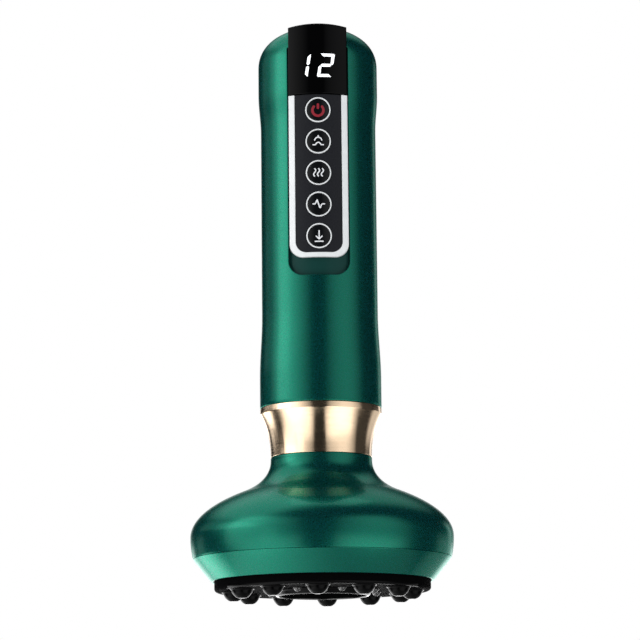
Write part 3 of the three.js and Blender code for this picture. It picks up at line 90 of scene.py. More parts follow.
# %% [markdown]
# ## Light
# The plated collar is a mirror of the studio: two tall white softboxes with a dark gap between them,
# dark cloth beside them and a white backdrop behind. Area lamps make the softboxes. The world is
# white to the camera, and to mirror rays that fly on behind the object; in front it is dark cloth.
# The world could be one flat grey, but then the lacquer would have no dark side to show its depth.


# %% Node helpers
def new_node(tree, kind, **settings):
    """A node of one kind with its settings."""
    made = tree.nodes.new(kind)
    for name, value in settings.items():
        setattr(made, name, value)
    return made


def feed(tree, socket, value):
    """Links a socket to another one, or sets it to a number or a colour."""
    if isinstance(value, bpy.types.NodeSocket):
        tree.links.new(value, socket)
    elif value is not None:
        socket.default_value = value


def link_math(tree, operation, first, second=None, third=None):
    """A Math node whose inputs are sockets or numbers; returns its output socket."""
    node = new_node(tree, "ShaderNodeMath", operation=operation)
    for socket, value in zip(node.inputs, (first, second, third)):
        feed(tree, socket, value)
    return node.outputs[0]


def link_ramp(tree, value, low, high, start=0.0, end=1.0):
    """A smooth step: start below low, end above high; returns its output socket."""
    node = new_node(tree, "ShaderNodeMapRange", interpolation_type="SMOOTHSTEP")
    names = ("Value", "From Min", "From Max", "To Min", "To Max")
    for name, number in zip(names, (value, low, high, start, end)):
        feed(tree, node.inputs[name], number)
    return node.outputs["Result"]


def link_mix(tree, factor, first, second):
    """The colour between two colours or sockets, by a factor; returns its output socket."""
    node = new_node(tree, "ShaderNodeMix", data_type="RGBA")
    for name, value in (("Factor", factor), ("A", first), ("B", second)):
        feed(tree, node.inputs[name], value)
    return node.outputs["Result"]


# %% [markdown]
# A real softbox is uneven: brightest along its tube, darker towards its edges. Each tall lamp gets a
# curve of brightness across it, and fades towards its upper and lower end. Even lamps would be
# simpler, but each would show in the lacquer as a flat bar with hard edges.


# %% Lamps
LAMP_AIM = np.array([0.0, 0.0, 0.11])
LOWER_HALF = (0.49, 0.43)  # the height on the lamp where its lower curve takes over
END_FADE = (0.5, 0.25)  # the distance from its middle where it is dark, and where it is full
MIDDLE_DIP = (0.0, 0.06, 0.72)  # the dip across its middle: where, how far, and how much is left
GLOW_AT, GLOW_REACH = 0.65, 0.08


def shade_curve(tree, across, shades):
    """Brightness across a lamp: a curve through (place across, share of the level)."""
    curve = new_node(tree, "ShaderNodeFloatCurve")
    points = curve.mapping.curves[0].points
    while len(points) < len(shades):
        points.new(0.5, 0.5)
    for point, location in zip(points, shades):
        point.location = location
    curve.mapping.update()
    tree.links.new(across, curve.inputs["Value"])
    return curve.outputs[0]


def away_from(tree, value, middle):
    """The size of the difference between a value and a middle."""
    return link_math(tree, "ABSOLUTE", link_math(tree, "SUBTRACT", value, middle))


def shade_lamp(lamp, shades, glow):
    """Brightness of a lamp: the curve of its upper or lower half, times the fades and the glow."""
    lamp.use_nodes = True
    tree = lamp.node_tree
    place = new_node(tree, "ShaderNodeSeparateXYZ")
    tree.links.new(new_node(tree, "ShaderNodeNewGeometry").outputs["Parametric"], place.inputs[0])
    across, height = place.outputs["X"], place.outputs["Y"]
    upper, lower = (shade_curve(tree, across, curve) for curve in shades)
    change = link_math(tree, "SUBTRACT", lower, upper)
    level = link_math(tree, "MULTIPLY_ADD", change, link_ramp(tree, height, *LOWER_HALF), upper)
    off_middle, off_glow = away_from(tree, height, 0.5), away_from(tree, height, GLOW_AT)
    fades = [
        link_ramp(tree, off_middle, *END_FADE),
        link_ramp(tree, off_middle, *MIDDLE_DIP),
        link_ramp(tree, off_glow, GLOW_REACH, 0.0, 1.0, glow),
    ]
    for fade in fades:
        level = link_math(tree, "MULTIPLY", level, fade)
    tree.links.new(level, tree.nodes["Emission"].inputs["Strength"])


def softbox(name, azimuth, elevation, distance, width, height, level, shades=None, glow=1.0):
    """An area lamp that faces the massager; level is its radiance. Azimuth grows to the right.

    shades holds the curve for the upper half of the box and the one for its lower half.
    """
    lamp = bpy.data.lights.new(name, "AREA")
    lamp.shape = "RECTANGLE"
    lamp.size, lamp.size_y = width, height
    lamp.energy = level * math.pi * width * height
    a, e = math.radians(azimuth), math.radians(elevation)
    out = np.array([math.sin(a) * math.cos(e), -math.cos(a) * math.cos(e), math.sin(e)])
    turn = Matrix.Rotation(a, 4, "Z") @ Matrix.Rotation(math.pi / 2 - e, 4, "X")
    placed(name, lamp).matrix_world = Matrix.Translation(out * distance + LAMP_AIM) @ turn
    if shades:
        shade_lamp(lamp, shades, glow)
    print(name, "at", azimuth, "degrees")


LEFT_SHADES = (
    [(0, 0.16), (0.06, 0.38), (0.14, 0.5), (0.32, 0.46), (0.5, 0.4), (0.66, 0.26), (0.81, 0.14),
     (1, 0.02)],
    [(0, 0.02), (0.05, 0.08), (0.27, 0.38), (0.52, 0.48), (0.76, 0.42), (0.93, 0.2), (1, 0)],
)
RIGHT_SHADES = (
    [(0, 0.03), (0.156, 0.2), (0.32, 0.3), (0.47, 0.36), (0.63, 0.35), (0.81, 0.22), (1, 0.04)],
    [(0, 0.1), (0.14, 0.55), (0.39, 0.72), (0.64, 0.68), (0.84, 0.3), (1, 0)],
)
softbox("softbox_left", azimuth=-54, elevation=-6, distance=0.9, width=1.4, height=2.6, level=4.3,
        shades=LEFT_SHADES, glow=1.15)
softbox("softbox_right", azimuth=47, elevation=-6, distance=0.9, width=1.34, height=2.6, level=2.8,
        shades=RIGHT_SHADES)
softbox("softbox_top", azimuth=170, elevation=76, distance=1.1, width=0.6, height=0.5, level=1.1)

# %% [markdown]
# The world's brightness is worked out from the direction of the ray: y above zero is behind the
# object. Each patch is a thing that stands in the studio, and where two overlap the brighter one wins.
# Real boards could be set up round the object instead, but they would also shade it and each other.

# %% World
FILL_COLOUR, WHITE = (0.93, 1.0, 1.02, 1), (1, 1, 1, 1)
FILL_LEVEL, OVERHEAD_LEVEL, CLOTH_LEVEL = 0.26, 1.05, 0.02
world = bpy.data.worlds.new("studio")
bpy.context.scene.world = world
world.use_nodes = True
tree = world.node_tree
tree.nodes.clear()
axes = new_node(tree, "ShaderNodeSeparateXYZ")
tree.links.new(new_node(tree, "ShaderNodeTexCoord").outputs["Generated"], axes.inputs[0])
x_axis, y_axis, z_axis = (axes.outputs[name] for name in "XYZ")


def patch(level, *ramps):
    """A soft-edged patch of the studio: its level times one smooth step for each (axis, low, high)."""
    for axis, low, high in ramps:
        level = link_math(tree, "MULTIPLY", level, link_ramp(tree, axis, low, high))
    return level


SIDES_DROP, RIGHT_GIVES_WAY = -0.3, -0.7
width = link_math(tree, "ABSOLUTE", x_axis)
downward = link_math(tree, "MULTIPLY_ADD", width, SIDES_DROP, z_axis)
behind = link_math(tree, "MULTIPLY_ADD", x_axis, RIGHT_GIVES_WAY, y_axis)
patches = {
    "backdrop": patch(1.0, (y_axis, 0.92, 0.97), (z_axis, -0.16, -0.04)),
    "bright foot of the backdrop": patch(
        3.0, (y_axis, 0.85, 0.95), (z_axis, -0.4, -0.25), (z_axis, 0.08, 0.02)),
    "white board on the right": patch(
        1.1, (x_axis, 0.38, 0.46), (x_axis, 0.64, 0.56), (y_axis, 0.4, 0.6), (z_axis, -0.3, -0.1),
        (z_axis, 0.35, 0.2)),
    "grey cloth on the right": patch(0.05, (x_axis, 0.8, 0.95)),
    "ceiling": patch(
        link_ramp(tree, x_axis, 0.2, -0.3, 0.8, 1.5), (z_axis, 0.4, 0.7), (x_axis, 0.65, 0.3),
        (behind, -0.2, 0.3)),
    "table below": patch(link_ramp(tree, x_axis, 0.3, -0.8, 0.52, 2.05), (downward, -0.75, -0.9)),
    "low board on the left": patch(5.0, (z_axis, -0.1, -0.3), (x_axis, -0.25, -0.6), (y_axis, 0.3, 0.7)),
    "strip for the grip's left edge": patch(
        0.5, (x_axis, -0.6, -0.8), (y_axis, -0.1, 0.1), (z_axis, 0.14, 0.19)),
    "white board on the left": patch(
        1.4, (x_axis, -0.8, -0.9), (y_axis, 0.4, 0.15), (z_axis, 0.1, 0.17), (z_axis, 0.7, 0.4)),
    "board for the collar's right edge": patch(
        0.7, (x_axis, 0.3, 0.5), (y_axis, 0.4, 0.6), (z_axis, 0.1, 0.0)),
    "strip for the collar's left edge": patch(
        0.6, (x_axis, -0.6, -0.66), (x_axis, -0.84, -0.78), (z_axis, 0.1, 0.02), (z_axis, -0.3, -0.1)),
}
studio = CLOTH_LEVEL
for level in patches.values():
    studio = link_math(tree, "MAXIMUM", level, studio)
print("studio:", ", ".join(patches))

# %% [markdown]
# Mirror rays see the studio. Rays that only bring soft light see an even fill that is brighter
# overhead and slightly cool, and the camera sees plain white. One brightness for all rays would be
# simpler, but then the dark cloth that shapes the reflections would also darken the paint.

# %% Rays
rays = new_node(tree, "ShaderNodeLightPath").outputs
mirror = link_math(tree, "MAXIMUM", rays["Is Glossy Ray"], rays["Is Transmission Ray"])
overhead = link_ramp(tree, z_axis, 0.3, 0.95, FILL_LEVEL, OVERHEAD_LEVEL)
fill = link_math(tree, "MULTIPLY", link_math(tree, "SUBTRACT", 1.0, mirror), overhead)
strength = link_math(tree, "MULTIPLY_ADD", mirror, studio, fill)
strength = link_math(tree, "MAXIMUM", rays["Is Camera Ray"], strength)
plain = link_math(tree, "MAXIMUM", mirror, rays["Is Camera Ray"])
background = new_node(tree, "ShaderNodeBackground")
feed(tree, background.inputs["Color"], link_mix(tree, plain, FILL_COLOUR, WHITE))
feed(tree, background.inputs["Strength"], strength)
feed(tree, new_node(tree, "ShaderNodeOutputWorld").inputs["Surface"], background.outputs[0])
print("fill", FILL_LEVEL, "to", OVERHEAD_LEVEL)

# %% [markdown]
# ## Helpers for meshes
# Every piece here is a grid of points that numpy works out in one go. Rows and columns become quads,
# doubled points are merged so that seams and poles close, and the normals are made to face outwards.
# Cylinders and cubes joined by booleans would look alike from afar, but their seams show in a gloss.


# %% Mesh helpers
MERGE_WITHIN, COLLAPSED = 2e-6, 1e-6  # in metres


def grid_quads(rows, columns, wrap_rows=False, wrap_columns=True):
    """Corner numbers of all quads of a grid: each cell joins a point to its next row and next column."""
    i = np.arange(rows if wrap_rows else rows - 1)
    j = np.arange(columns if wrap_columns else columns - 1)
    i, j = np.meshgrid(i, j, indexing="ij")
    down, right = (i + 1) % rows, (j + 1) % columns
    corners = [i * columns + j, i * columns + right, down * columns + right, down * columns + j]
    return np.stack(corners, axis=-1).reshape(-1, 4)


def tidy_mesh(made, smooth_angle):
    """Merges doubled points, drops faces that have collapsed, turns normals out, smooths soft edges."""
    bpy.ops.object.select_all(action="DESELECT")
    bpy.context.view_layer.objects.active = made
    made.select_set(True)
    bpy.ops.object.mode_set(mode="EDIT")
    bpy.ops.mesh.select_all(action="SELECT")
    bpy.ops.mesh.remove_doubles(threshold=MERGE_WITHIN)
    bpy.ops.mesh.dissolve_degenerate(threshold=COLLAPSED)
    bpy.ops.mesh.select_all(action="SELECT")
    bpy.ops.mesh.normals_make_consistent(inside=False)
    bpy.ops.object.mode_set(mode="OBJECT")
    bpy.ops.object.shade_smooth_by_angle(angle=math.radians(smooth_angle))
    made.select_set(False)


def piece(name, points, faces, body, slot, replaces=None, smooth_angle=40):
    """A finished piece: points in millimetres and faces become a mesh that rides on a body."""
    mesh = bpy.data.meshes.new(name)
    mesh.from_pydata((np.asarray(points).reshape(-1, 3) * MM).tolist(), [], [list(f) for f in faces])
    made = placed(name, mesh)
    tidy_mesh(made, smooth_angle)
    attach(made, body)
    if replaces:
        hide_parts(replaces)
    mesh.materials.append(MATERIALS[slot])
    print(name, len(mesh.polygons), "faces")
    return made


# %% [markdown]
# A turned piece is a profile swept round the upright axis. Its corners get small arcs, because no
# real edge is sharp and an edge without a round catches no light. A Bevel modifier could round them
# afterwards, but with one width for all, where here each corner has its own.


# %% Curves
def whole_turn(count):
    """Even angles once round, without the doubled last one."""
    return np.linspace(0, 2 * math.pi, count, endpoint=False)


def quarter_turn(count):
    """Even angles from 0 to a right angle."""
    return np.linspace(0, math.pi / 2, count)


def polar(radius, angle):
    """x and y of the place at a radius and an angle, which is 0 in front and grows to the right."""
    return radius * np.sin(angle), -radius * np.cos(angle)


def pairs(first, second):
    """Points of (first, second), where either may be one number for all."""
    return np.stack(np.broadcast_arrays(first, second), axis=-1)


def between(start, end, share):
    """The place that is a share of the way from start to end."""
    return start + (end - start) * share


def unit(arrows):
    """Arrows of the same direction, each one long."""
    return arrows / np.linalg.norm(arrows, axis=1, keepdims=True)


def turned(profile, count, closed=True):
    """Points of a profile of (radius, height) turned round the Z axis, and their faces."""
    radius, height = np.asarray(profile, float).T[..., None]
    angle = whole_turn(count)
    points = np.stack([*polar(radius, angle), height + 0 * angle], axis=-1)
    return points, grid_quads(len(profile), count, wrap_rows=closed)


def rounded(profile, radii, steps=5):
    """A closed profile whose corners are cut by arcs: each corner is left and met at its own radius.

    An arc is a curve of three points: where it starts, the corner and where it ends. It takes less
    than half of the shorter side.
    """
    profile, most = np.asarray(profile, float), 0.49
    back, ahead = (np.roll(profile, shift, axis=0) - profile for shift in (1, -1))
    far_back, far_ahead = (np.linalg.norm(side, axis=1, keepdims=True) for side in (back, ahead))
    cut = np.minimum(np.asarray(radii, float).reshape(-1, 1), most * np.minimum(far_back, far_ahead))
    start, end = (profile + back / far_back * cut)[:, None], (profile + ahead / far_ahead * cut)[:, None]
    share = np.linspace(0, 1, steps)[None, :, None]
    curve = (1 - share) ** 2 * start + 2 * share * (1 - share) * profile[:, None] + share**2 * end
    return curve.reshape(-1, 2)


def bezier(*points, steps=24):
    """Points on a curve of two, three or four control points, each weighed by its own share."""
    degree = len(points) - 1
    share = np.linspace(0, 1, steps)[:, None]
    return sum(
        math.comb(degree, i) * share**i * (1 - share) ** (degree - i) * np.array(point, float)
        for i, point in enumerate(points)
    )


def smoothstep(value, low, high):
    """0 below low, 1 above high, and an S-curve between them."""
    share = np.clip((np.asarray(value, float) - low) / (high - low), 0, 1)
    return share * share * (3 - 2 * share)


# %% [markdown]
# ## Finishes
# A finish is a Principled shader plus the small faults that make it real: flakes in the lacquer,
# brush marks in the plating, grain in the films and plastics. Patterns read Object coordinates, in
# metres, so their grain stays the same size on every piece. Pictures could carry them too, but they
# would need every piece unwrapped, and would blur close up.

# %% Finish helpers
MATERIALS = {}


def finish(name, colour, roughness, metallic=0.0, **sockets):
    """A material, kept by its name, with its own Principled shader, which is returned."""
    made = MATERIALS[name] = bpy.data.materials.new(name)
    made.use_nodes = True
    shader = made.node_tree.nodes["Principled BSDF"]
    sockets |= {"Base Color": (*colour, 1), "Roughness": roughness, "Metallic": metallic}
    for socket, value in sockets.items():
        shader.inputs[socket.replace("_", " ")].default_value = value
    return shader


def noise(shader, size_mm, detail=2.0, stretch=(1, 1, 1)):
    """Noise whose blobs measure size_mm, stretched along an axis by a share below one."""
    tree = shader.id_data
    mapping = new_node(tree, "ShaderNodeMapping")
    mapping.inputs["Scale"].default_value = stretch
    tree.links.new(new_node(tree, "ShaderNodeTexCoord").outputs["Object"], mapping.inputs["Vector"])
    node = new_node(tree, "ShaderNodeTexNoise")
    node.inputs["Scale"].default_value = 1 / (size_mm * MM)
    node.inputs["Detail"].default_value = detail
    tree.links.new(mapping.outputs[0], node.inputs["Vector"])
    return node.outputs["Fac"]


def vary_colour(shader, pattern, dark, light, low=0.35, high=0.65):
    """Base colour runs from dark to light as a pattern goes from low to high; returns the colour."""
    tree = shader.id_data
    ramp = new_node(tree, "ShaderNodeValToRGB")
    for element, place, colour in zip(ramp.color_ramp.elements, (low, high), (dark, light)):
        element.position, element.color = place, (*colour, 1)
    tree.links.new(pattern, ramp.inputs["Fac"])
    tree.links.new(ramp.outputs["Color"], shader.inputs["Base Color"])
    return ramp.outputs["Color"]


def vary_roughness(shader, pattern, low, high):
    """Roughness runs between two levels over the pattern's middle range; returns the roughness."""
    worn = link_ramp(shader.id_data, pattern, 0.3, 0.7, low, high)
    shader.id_data.links.new(worn, shader.inputs["Roughness"])
    return worn


def add_bump(shader, pattern, height_mm, strength=1.0):
    """Small relief, height_mm deep."""
    tree = shader.id_data
    bump = new_node(tree, "ShaderNodeBump")
    for name, value in (("Strength", strength), ("Distance", height_mm * MM), ("Height", pattern)):
        feed(tree, bump.inputs[name], value)
    tree.links.new(bump.outputs[0], shader.inputs["Normal"])


# %% [markdown]
# ### Emerald lacquer
# The grip, the head and the rim band are sprayed: metal flakes in a teal pigment under a thin clear
# coat. The flakes give the broad soft highlight, the pigment between them keeps the dark side teal,
# and the coat gives the sharp reflections. A noise finer than a tenth of a millimetre tells flake
# from pigment, for the colour and the metal alike. One metallic green would be simpler, but its dark
# side turns black. Down in the panel's pocket the lacquer gets painted shade: a darker colour, less
# metal and more roughness. A number on the points of that piece, the recess_shade, tells the shader
# where.

# %% Lacquer
FLAKE_MM, FLAKE_EDGE = 0.06, (0.37, 0.43)
# painted shade for the pocket: its dark colour, the metal left there and the roughness added there
RECESS_SHADE_COLOUR, RECESS_METAL, RECESS_DULL = (0.0015, 0.032, 0.028, 1), 0.1, 0.6
lacquer = finish(
    "green_lacquer", (0.006, 0.125, 0.08), 0.28, 0.8,
    Coat_Weight=0.16, Coat_Roughness=0.05, Coat_IOR=1.4, Specular_Tint=(0.4, 0.7, 0.62, 1),
)
tree = lacquer.id_data
recess_shade = new_node(tree, "ShaderNodeAttribute", attribute_name="recess_shade").outputs["Fac"]
flakes = noise(lacquer, FLAKE_MM, 1)
paint = vary_colour(lacquer, flakes, (0.0015, 0.085, 0.115), (0.0055, 0.135, 0.08), *FLAKE_EDGE)
# painted shade: where recess_shade is 1 the flake colour gives way to the dark shade colour
feed(tree, lacquer.inputs["Base Color"], link_mix(tree, recess_shade, paint, RECESS_SHADE_COLOUR))
metal = link_math(tree, "MULTIPLY", link_ramp(tree, flakes, *FLAKE_EDGE),
                  link_ramp(tree, recess_shade, 0.0, 1.0, 1.0, RECESS_METAL))
feed(tree, lacquer.inputs["Metallic"], metal)
even = vary_roughness(lacquer, noise(lacquer, 0.4), 0.25, 0.32)
feed(tree, lacquer.inputs["Roughness"], link_math(tree, "MULTIPLY_ADD", recess_shade, RECESS_DULL, even))
add_bump(lacquer, noise(lacquer, 0.5), 0.0008)
print("flakes of", FLAKE_MM, "mm")

# %% [markdown]
# ### Plating, gloss and film
# The collar is plated and brushed round the turn, so its reflections are drawn out from top to foot
# and stay crisp from side to side. A plain rough metal would blur them both ways and lose the dark
# streaks. The bezel and the button rings are bright white trim. The window is black acrylic, the key
# panel a film with fine grain, and the caps a dark glossy plastic.

# %% Trim and panel finishes
gold = finish(
    "gold_plate", (0.90, 0.68, 0.465), 0.2, 1.0, Anisotropic=0.95, Anisotropic_Rotation=0.25)
vary_colour(gold, noise(gold, 6), (0.88, 0.66, 0.45), (0.93, 0.705, 0.485))
vary_roughness(gold, noise(gold, 0.6, stretch=(0.08, 0.08, 1)), 0.17, 0.23)

acrylic = finish("black_gloss", (0.0012, 0.0012, 0.0014), 0.07, Specular_IOR_Level=0.08)
vary_roughness(acrylic, noise(acrylic, 1.2), 0.06, 0.1)

trim = finish("bright_trim", (0.75, 0.76, 0.77), 0.25)
vary_colour(trim, noise(trim, 3), (0.73, 0.74, 0.75), (0.77, 0.78, 0.79))
vary_roughness(trim, noise(trim, 0.3), 0.18, 0.28)

film = finish("panel_film", (0.012, 0.0125, 0.016), 0.5, Specular_IOR_Level=0.12)
grain = noise(film, 0.16, 3)
vary_colour(film, grain, (0.007, 0.0074, 0.0096), (0.018, 0.0187, 0.0235), 0.3, 0.75)
vary_roughness(film, grain, 0.42, 0.6)
add_bump(film, grain, 0.02, 0.6)

cap = finish("cap_plastic", (0.004, 0.0045, 0.0055), 0.16, Specular_IOR_Level=0.2)
vary_roughness(cap, noise(cap, 0.25), 0.13, 0.22)
print("trim and panel:", list(MATERIALS)[1:])

# %% [markdown]
# ### Pad, lights and what is inside
# The pad is silicone rubber with a faint moulding grain: matt on its wall, glossy on the knobs and
# the lip. One gloss for all would be simpler, but it would light the wall too, which is plain black
# in the photograph. The inner pieces hardly show, but each still has the finish of its real material,
# because the part can be taken to pieces.


# %% Rubber, plastics and metals
def pad_rubber(name, roughness, gloss):
    """Black rubber: its roughness wavers by a fifth, and a fine grain gives it colour and relief."""
    rubber = finish(name, (0.0016, 0.0016, 0.0018), roughness, Specular_IOR_Level=gloss)
    vary_roughness(rubber, noise(rubber, 0.8, 3), roughness * 0.8, roughness * 1.2)
    grain = noise(rubber, 0.2)
    vary_colour(rubber, grain, (0.0008, 0.0008, 0.0009), (0.0028, 0.0028, 0.003))
    add_bump(rubber, grain, 0.006, 0.5)


def lit_print(name, colour, level):
    """A diffuse print or lamp that also glows a little by itself: light for the display, a painted glow
    for the printed signs.
    """
    shader = finish(name, colour, 0.4, Emission_Color=(*colour, 1), Emission_Strength=level)
    vary_roughness(shader, noise(shader, 0.2), 0.35, 0.5)


def grained(name, colour, roughness, metallic=0.0, spread=0.12, size_mm=0.5):
    """A material whose colour and roughness waver a little with a fine grain."""
    shader = finish(name, colour, roughness, metallic)
    grain = noise(shader, size_mm, 3)
    dark, light = (tuple(min(1, c * k) for c in colour) for k in (1 - spread, 1 + spread))
    vary_colour(shader, grain, dark, light)
    vary_roughness(shader, grain, roughness * 0.85, min(1, roughness * 1.15))
    add_bump(shader, grain, 0.004, 0.4)


for row in (("pad_rubber", 0.7, 0.004), ("knob_rubber", 0.19, 0.05), ("lip_rubber", 0.2, 1.0)):
    pad_rubber(*row)
lit_print("display_light", (0.9, 0.92, 0.95), 0.9)
# the signs are prints, no lamps: their small glow is painted light
lit_print("sign_red", (0.24, 0.007, 0.018), 0.1)
lit_print("sign_white", (0.62, 0.63, 0.65), 0.25)
grained("smoked_plastic", (0.02, 0.012, 0.012), 0.12, size_mm=1.5)
grained("nylon", (0.62, 0.6, 0.55), 0.5)
grained("cell_wrap", (0.03, 0.16, 0.42), 0.35)
grained("steel", (0.55, 0.56, 0.58), 0.28, 1.0, 0.08)
grained("brass", (0.72, 0.5, 0.2), 0.28, 1.0, 0.08)
grained("silicone", (0.7, 0.68, 0.63), 0.45)
grained("white_plastic", (0.72, 0.73, 0.74), 0.4)
grained("aluminium", (0.62, 0.64, 0.66), 0.35, 1.0, 0.06)
board = finish("board_green", (0.01, 0.09, 0.04), 0.35)
tracks = noise(board, 2.2, 1, (1, 1, 0.25))
vary_colour(board, tracks, (0.008, 0.075, 0.034), (0.014, 0.12, 0.05), 0.48, 0.52)
vary_roughness(board, noise(board, 0.4), 0.3, 0.42)

for node, made in frame["nodes"].items():
    made.data.materials.clear()
    made.data.materials.append(MATERIALS[SLOT_OF_NODE[node]])
print("finishes:", sorted(MATERIALS))

# %% [markdown]
# ## Floor
# A pale floor carries the object and takes its shadow. The camera of the photograph is below it, so
# the floor is clear from behind, and no bounced ray sees it: the underside stays lit. Far out it
# fades into the white backdrop, so no horizon shows. It could be left out for the photograph's own
# view, but from above the massager would hang in the air.

# %% Floor
HALF_SIDE, FADE_START, FADE_END = 1.0, 0.3, 0.8
mesh = bpy.data.meshes.new("floor")
corners = [(x * HALF_SIDE, y * HALF_SIDE, 0) for x, y in ((-1, -1), (1, -1), (1, 1), (-1, 1))]
mesh.from_pydata(corners, [], [(0, 1, 2, 3)])
floor = placed("floor", mesh)
paint = finish("floor_paint", (0.86, 0.86, 0.86), 0.9)
tree = paint.id_data
from_behind = new_node(tree, "ShaderNodeNewGeometry").outputs["Backfacing"]
reach = new_node(tree, "ShaderNodeVectorMath", operation="LENGTH")
tree.links.new(new_node(tree, "ShaderNodeTexCoord").outputs["Object"], reach.inputs[0])
far_out = link_ramp(tree, reach.outputs["Value"], FADE_START, FADE_END)
blend = new_node(tree, "ShaderNodeMixShader")
clear = new_node(tree, "ShaderNodeBsdfTransparent")
sources = (link_math(tree, "MAXIMUM", from_behind, far_out), paint.outputs[0], clear.outputs[0])
for socket, source in zip(blend.inputs, sources):
    feed(tree, socket, source)
feed(tree, tree.nodes["Material Output"].inputs["Surface"], blend.outputs[0])
mesh.materials.append(MATERIALS["floor_paint"])
floor.visible_diffuse = floor.visible_glossy = floor.visible_transmission = False
floor.visible_shadow = False
print("floor fades out at", FADE_END, "m")

# %% [markdown]
# ## The grip's line
# Seen from the side the grip is a line: a foot, a soft taper to the waist, a swell to the crown and a
# dome like a rounded square. A place on the grip is an angle round the axis and a distance along that
# line, which is its height up to the dome and the length of the arc over it. The grip could be drawn
# by hand and the rest fitted to it, but as functions every piece on it finds the surface by itself.

# %% Grip line
FOOT_Z, LOWER_TAPER_Z, WAIST_Z = 72.4, 84, 108
UPPER_TAPER_Z, CROWN_Z, DOME_Z, TOP_Z = 180, 194, 205, 220.5
FOOT_RADIUS, WAIST_RADIUS, CROWN_RADIUS = 23.05, 22.1, 22.95
DOME_FULLNESS, GRIP_WALL = 2.25, 2.2


def grip_radius(z):
    """Foot radius, eased down to the waist, then eased up to the crown."""
    lower, upper = smoothstep(z, LOWER_TAPER_Z, WAIST_Z), smoothstep(z, UPPER_TAPER_Z, CROWN_Z)
    return FOOT_RADIUS + (WAIST_RADIUS - FOOT_RADIUS) * lower + (CROWN_RADIUS - WAIST_RADIUS) * upper


side_z = np.linspace(FOOT_Z, DOME_Z, 500)
turn = quarter_turn(400)[1:]
dome_r = CROWN_RADIUS * np.clip(np.cos(turn), 0, 1) ** (2 / DOME_FULLNESS)
dome_z = DOME_Z + (TOP_Z - DOME_Z) * np.sin(turn) ** (2 / DOME_FULLNESS)
line_r = np.concatenate([grip_radius(side_z), dome_r])
line_z = np.concatenate([side_z, dome_z])
line_r[-1] = 0
line_v = FOOT_Z + np.concatenate([[0], np.cumsum(np.hypot(np.diff(line_r), np.diff(line_z)))])
lean_r, lean_z = np.gradient(line_r, line_v), np.gradient(line_z, line_v)
END_V = line_v[-1]
print("grip line", round(float(END_V - FOOT_Z), 1), "mm long")


def on_grip(angle, v, depth=0.0):
    """The point at an angle and a distance along the line, moved in by depth, square to the surface."""
    radius, height, slope_r, slope_z = (
        np.interp(v, line_v, values) for values in (line_r, line_z, lean_r, lean_z))
    length = np.hypot(slope_r, slope_z)
    radius = np.maximum(radius - depth * slope_z / length, 0)
    return np.stack([*polar(radius, angle), height + depth * slope_r / length], axis=-1)


def radius_at(z):
    """The grip's radius at a height, and the distance along the line."""
    v = np.interp(z, line_z, line_v)
    return np.interp(v, line_v, line_r), v


def from_front(x, z):
    """Angle and distance along the line of the place that a front view shows at x and z."""
    radius, v = radius_at(z)
    return np.arcsin(np.clip(x / radius, -1, 1)), v


def facing(x, z, depth=0.0):
    """The point that a front view shows at x and z, on the grip's surface moved in by depth."""
    radius = radius_at(z)[0] - depth
    return np.stack([x, -np.sqrt(np.maximum(radius**2 - x**2, 0)), z + 0 * x], axis=-1)


# %% [markdown]
# ## Loops round a window
# Both halves of the grip are a skin with a hole: the long pocket in front, the charging slot behind.
# The skin is woven from closed loops that grow from the hole's outline to the edge of the half, so
# the edge of the hole stays crisp. Cutting the hole out with a boolean would be shorter, but it leaves
# thin triangles that show in a gloss finish.

# %% Loops
EDGE_COUNT, CORNER_COUNT, SIDE_COUNT, TOP_CORNER_COUNT = 28, 20, 96, 8
SKIN_LOOPS, SKIN_CROWDING, LINING_LOOPS = 44, 1.25, 16
SEAM = [(0.994, 0.0), (0.998, 0.05), (1.0, 0.16), (1.0, 1.2)]  # (share of the way out, depth)


def outline(half, foot, top, corner, top_corner=0.4):
    """A closed U-shaped loop of (x, z), from the middle of its lower left corner, counterclockwise."""
    def arc(x, z, radius, start, count):
        angle = math.radians(start) + np.linspace(0, math.pi / 2, count, endpoint=False)
        return pairs(x + radius * np.cos(angle), z + radius * np.sin(angle))

    def line(a, b, count):
        return np.linspace(a, b, count, endpoint=False)

    low, high = foot + corner, top - top_corner
    loop = np.concatenate([
        arc(-half + corner, low, corner, 180, CORNER_COUNT),
        line((-half + corner, foot), (half - corner, foot), EDGE_COUNT),
        arc(half - corner, low, corner, 270, CORNER_COUNT),
        line((half, low), (half, high), SIDE_COUNT),
        arc(half - top_corner, high, top_corner, 0, TOP_CORNER_COUNT),
        line((half - top_corner, top), (-half + top_corner, top), EDGE_COUNT),
        arc(-half + top_corner, high, top_corner, 90, TOP_CORNER_COUNT),
        line((-half, high), (-half, low), SIDE_COUNT),
    ])
    return np.roll(loop, -(CORNER_COUNT // 2), axis=0)


def half_edge():
    """The loop round one half of the grip, as (angle, v), with the same counts as an outline."""
    quarter = math.pi / 2
    side = CORNER_COUNT // 2 + SIDE_COUNT + TOP_CORNER_COUNT // 2
    corners = [(-quarter, FOOT_Z), (quarter, FOOT_Z), (quarter, END_V), (-quarter, END_V)]
    counts = (EDGE_COUNT + CORNER_COUNT, side, EDGE_COUNT + TOP_CORNER_COUNT, side)
    return np.concatenate([
        np.linspace(a, b, count, endpoint=False)
        for a, b, count in zip(corners, corners[1:] + corners[:1], counts)
    ])


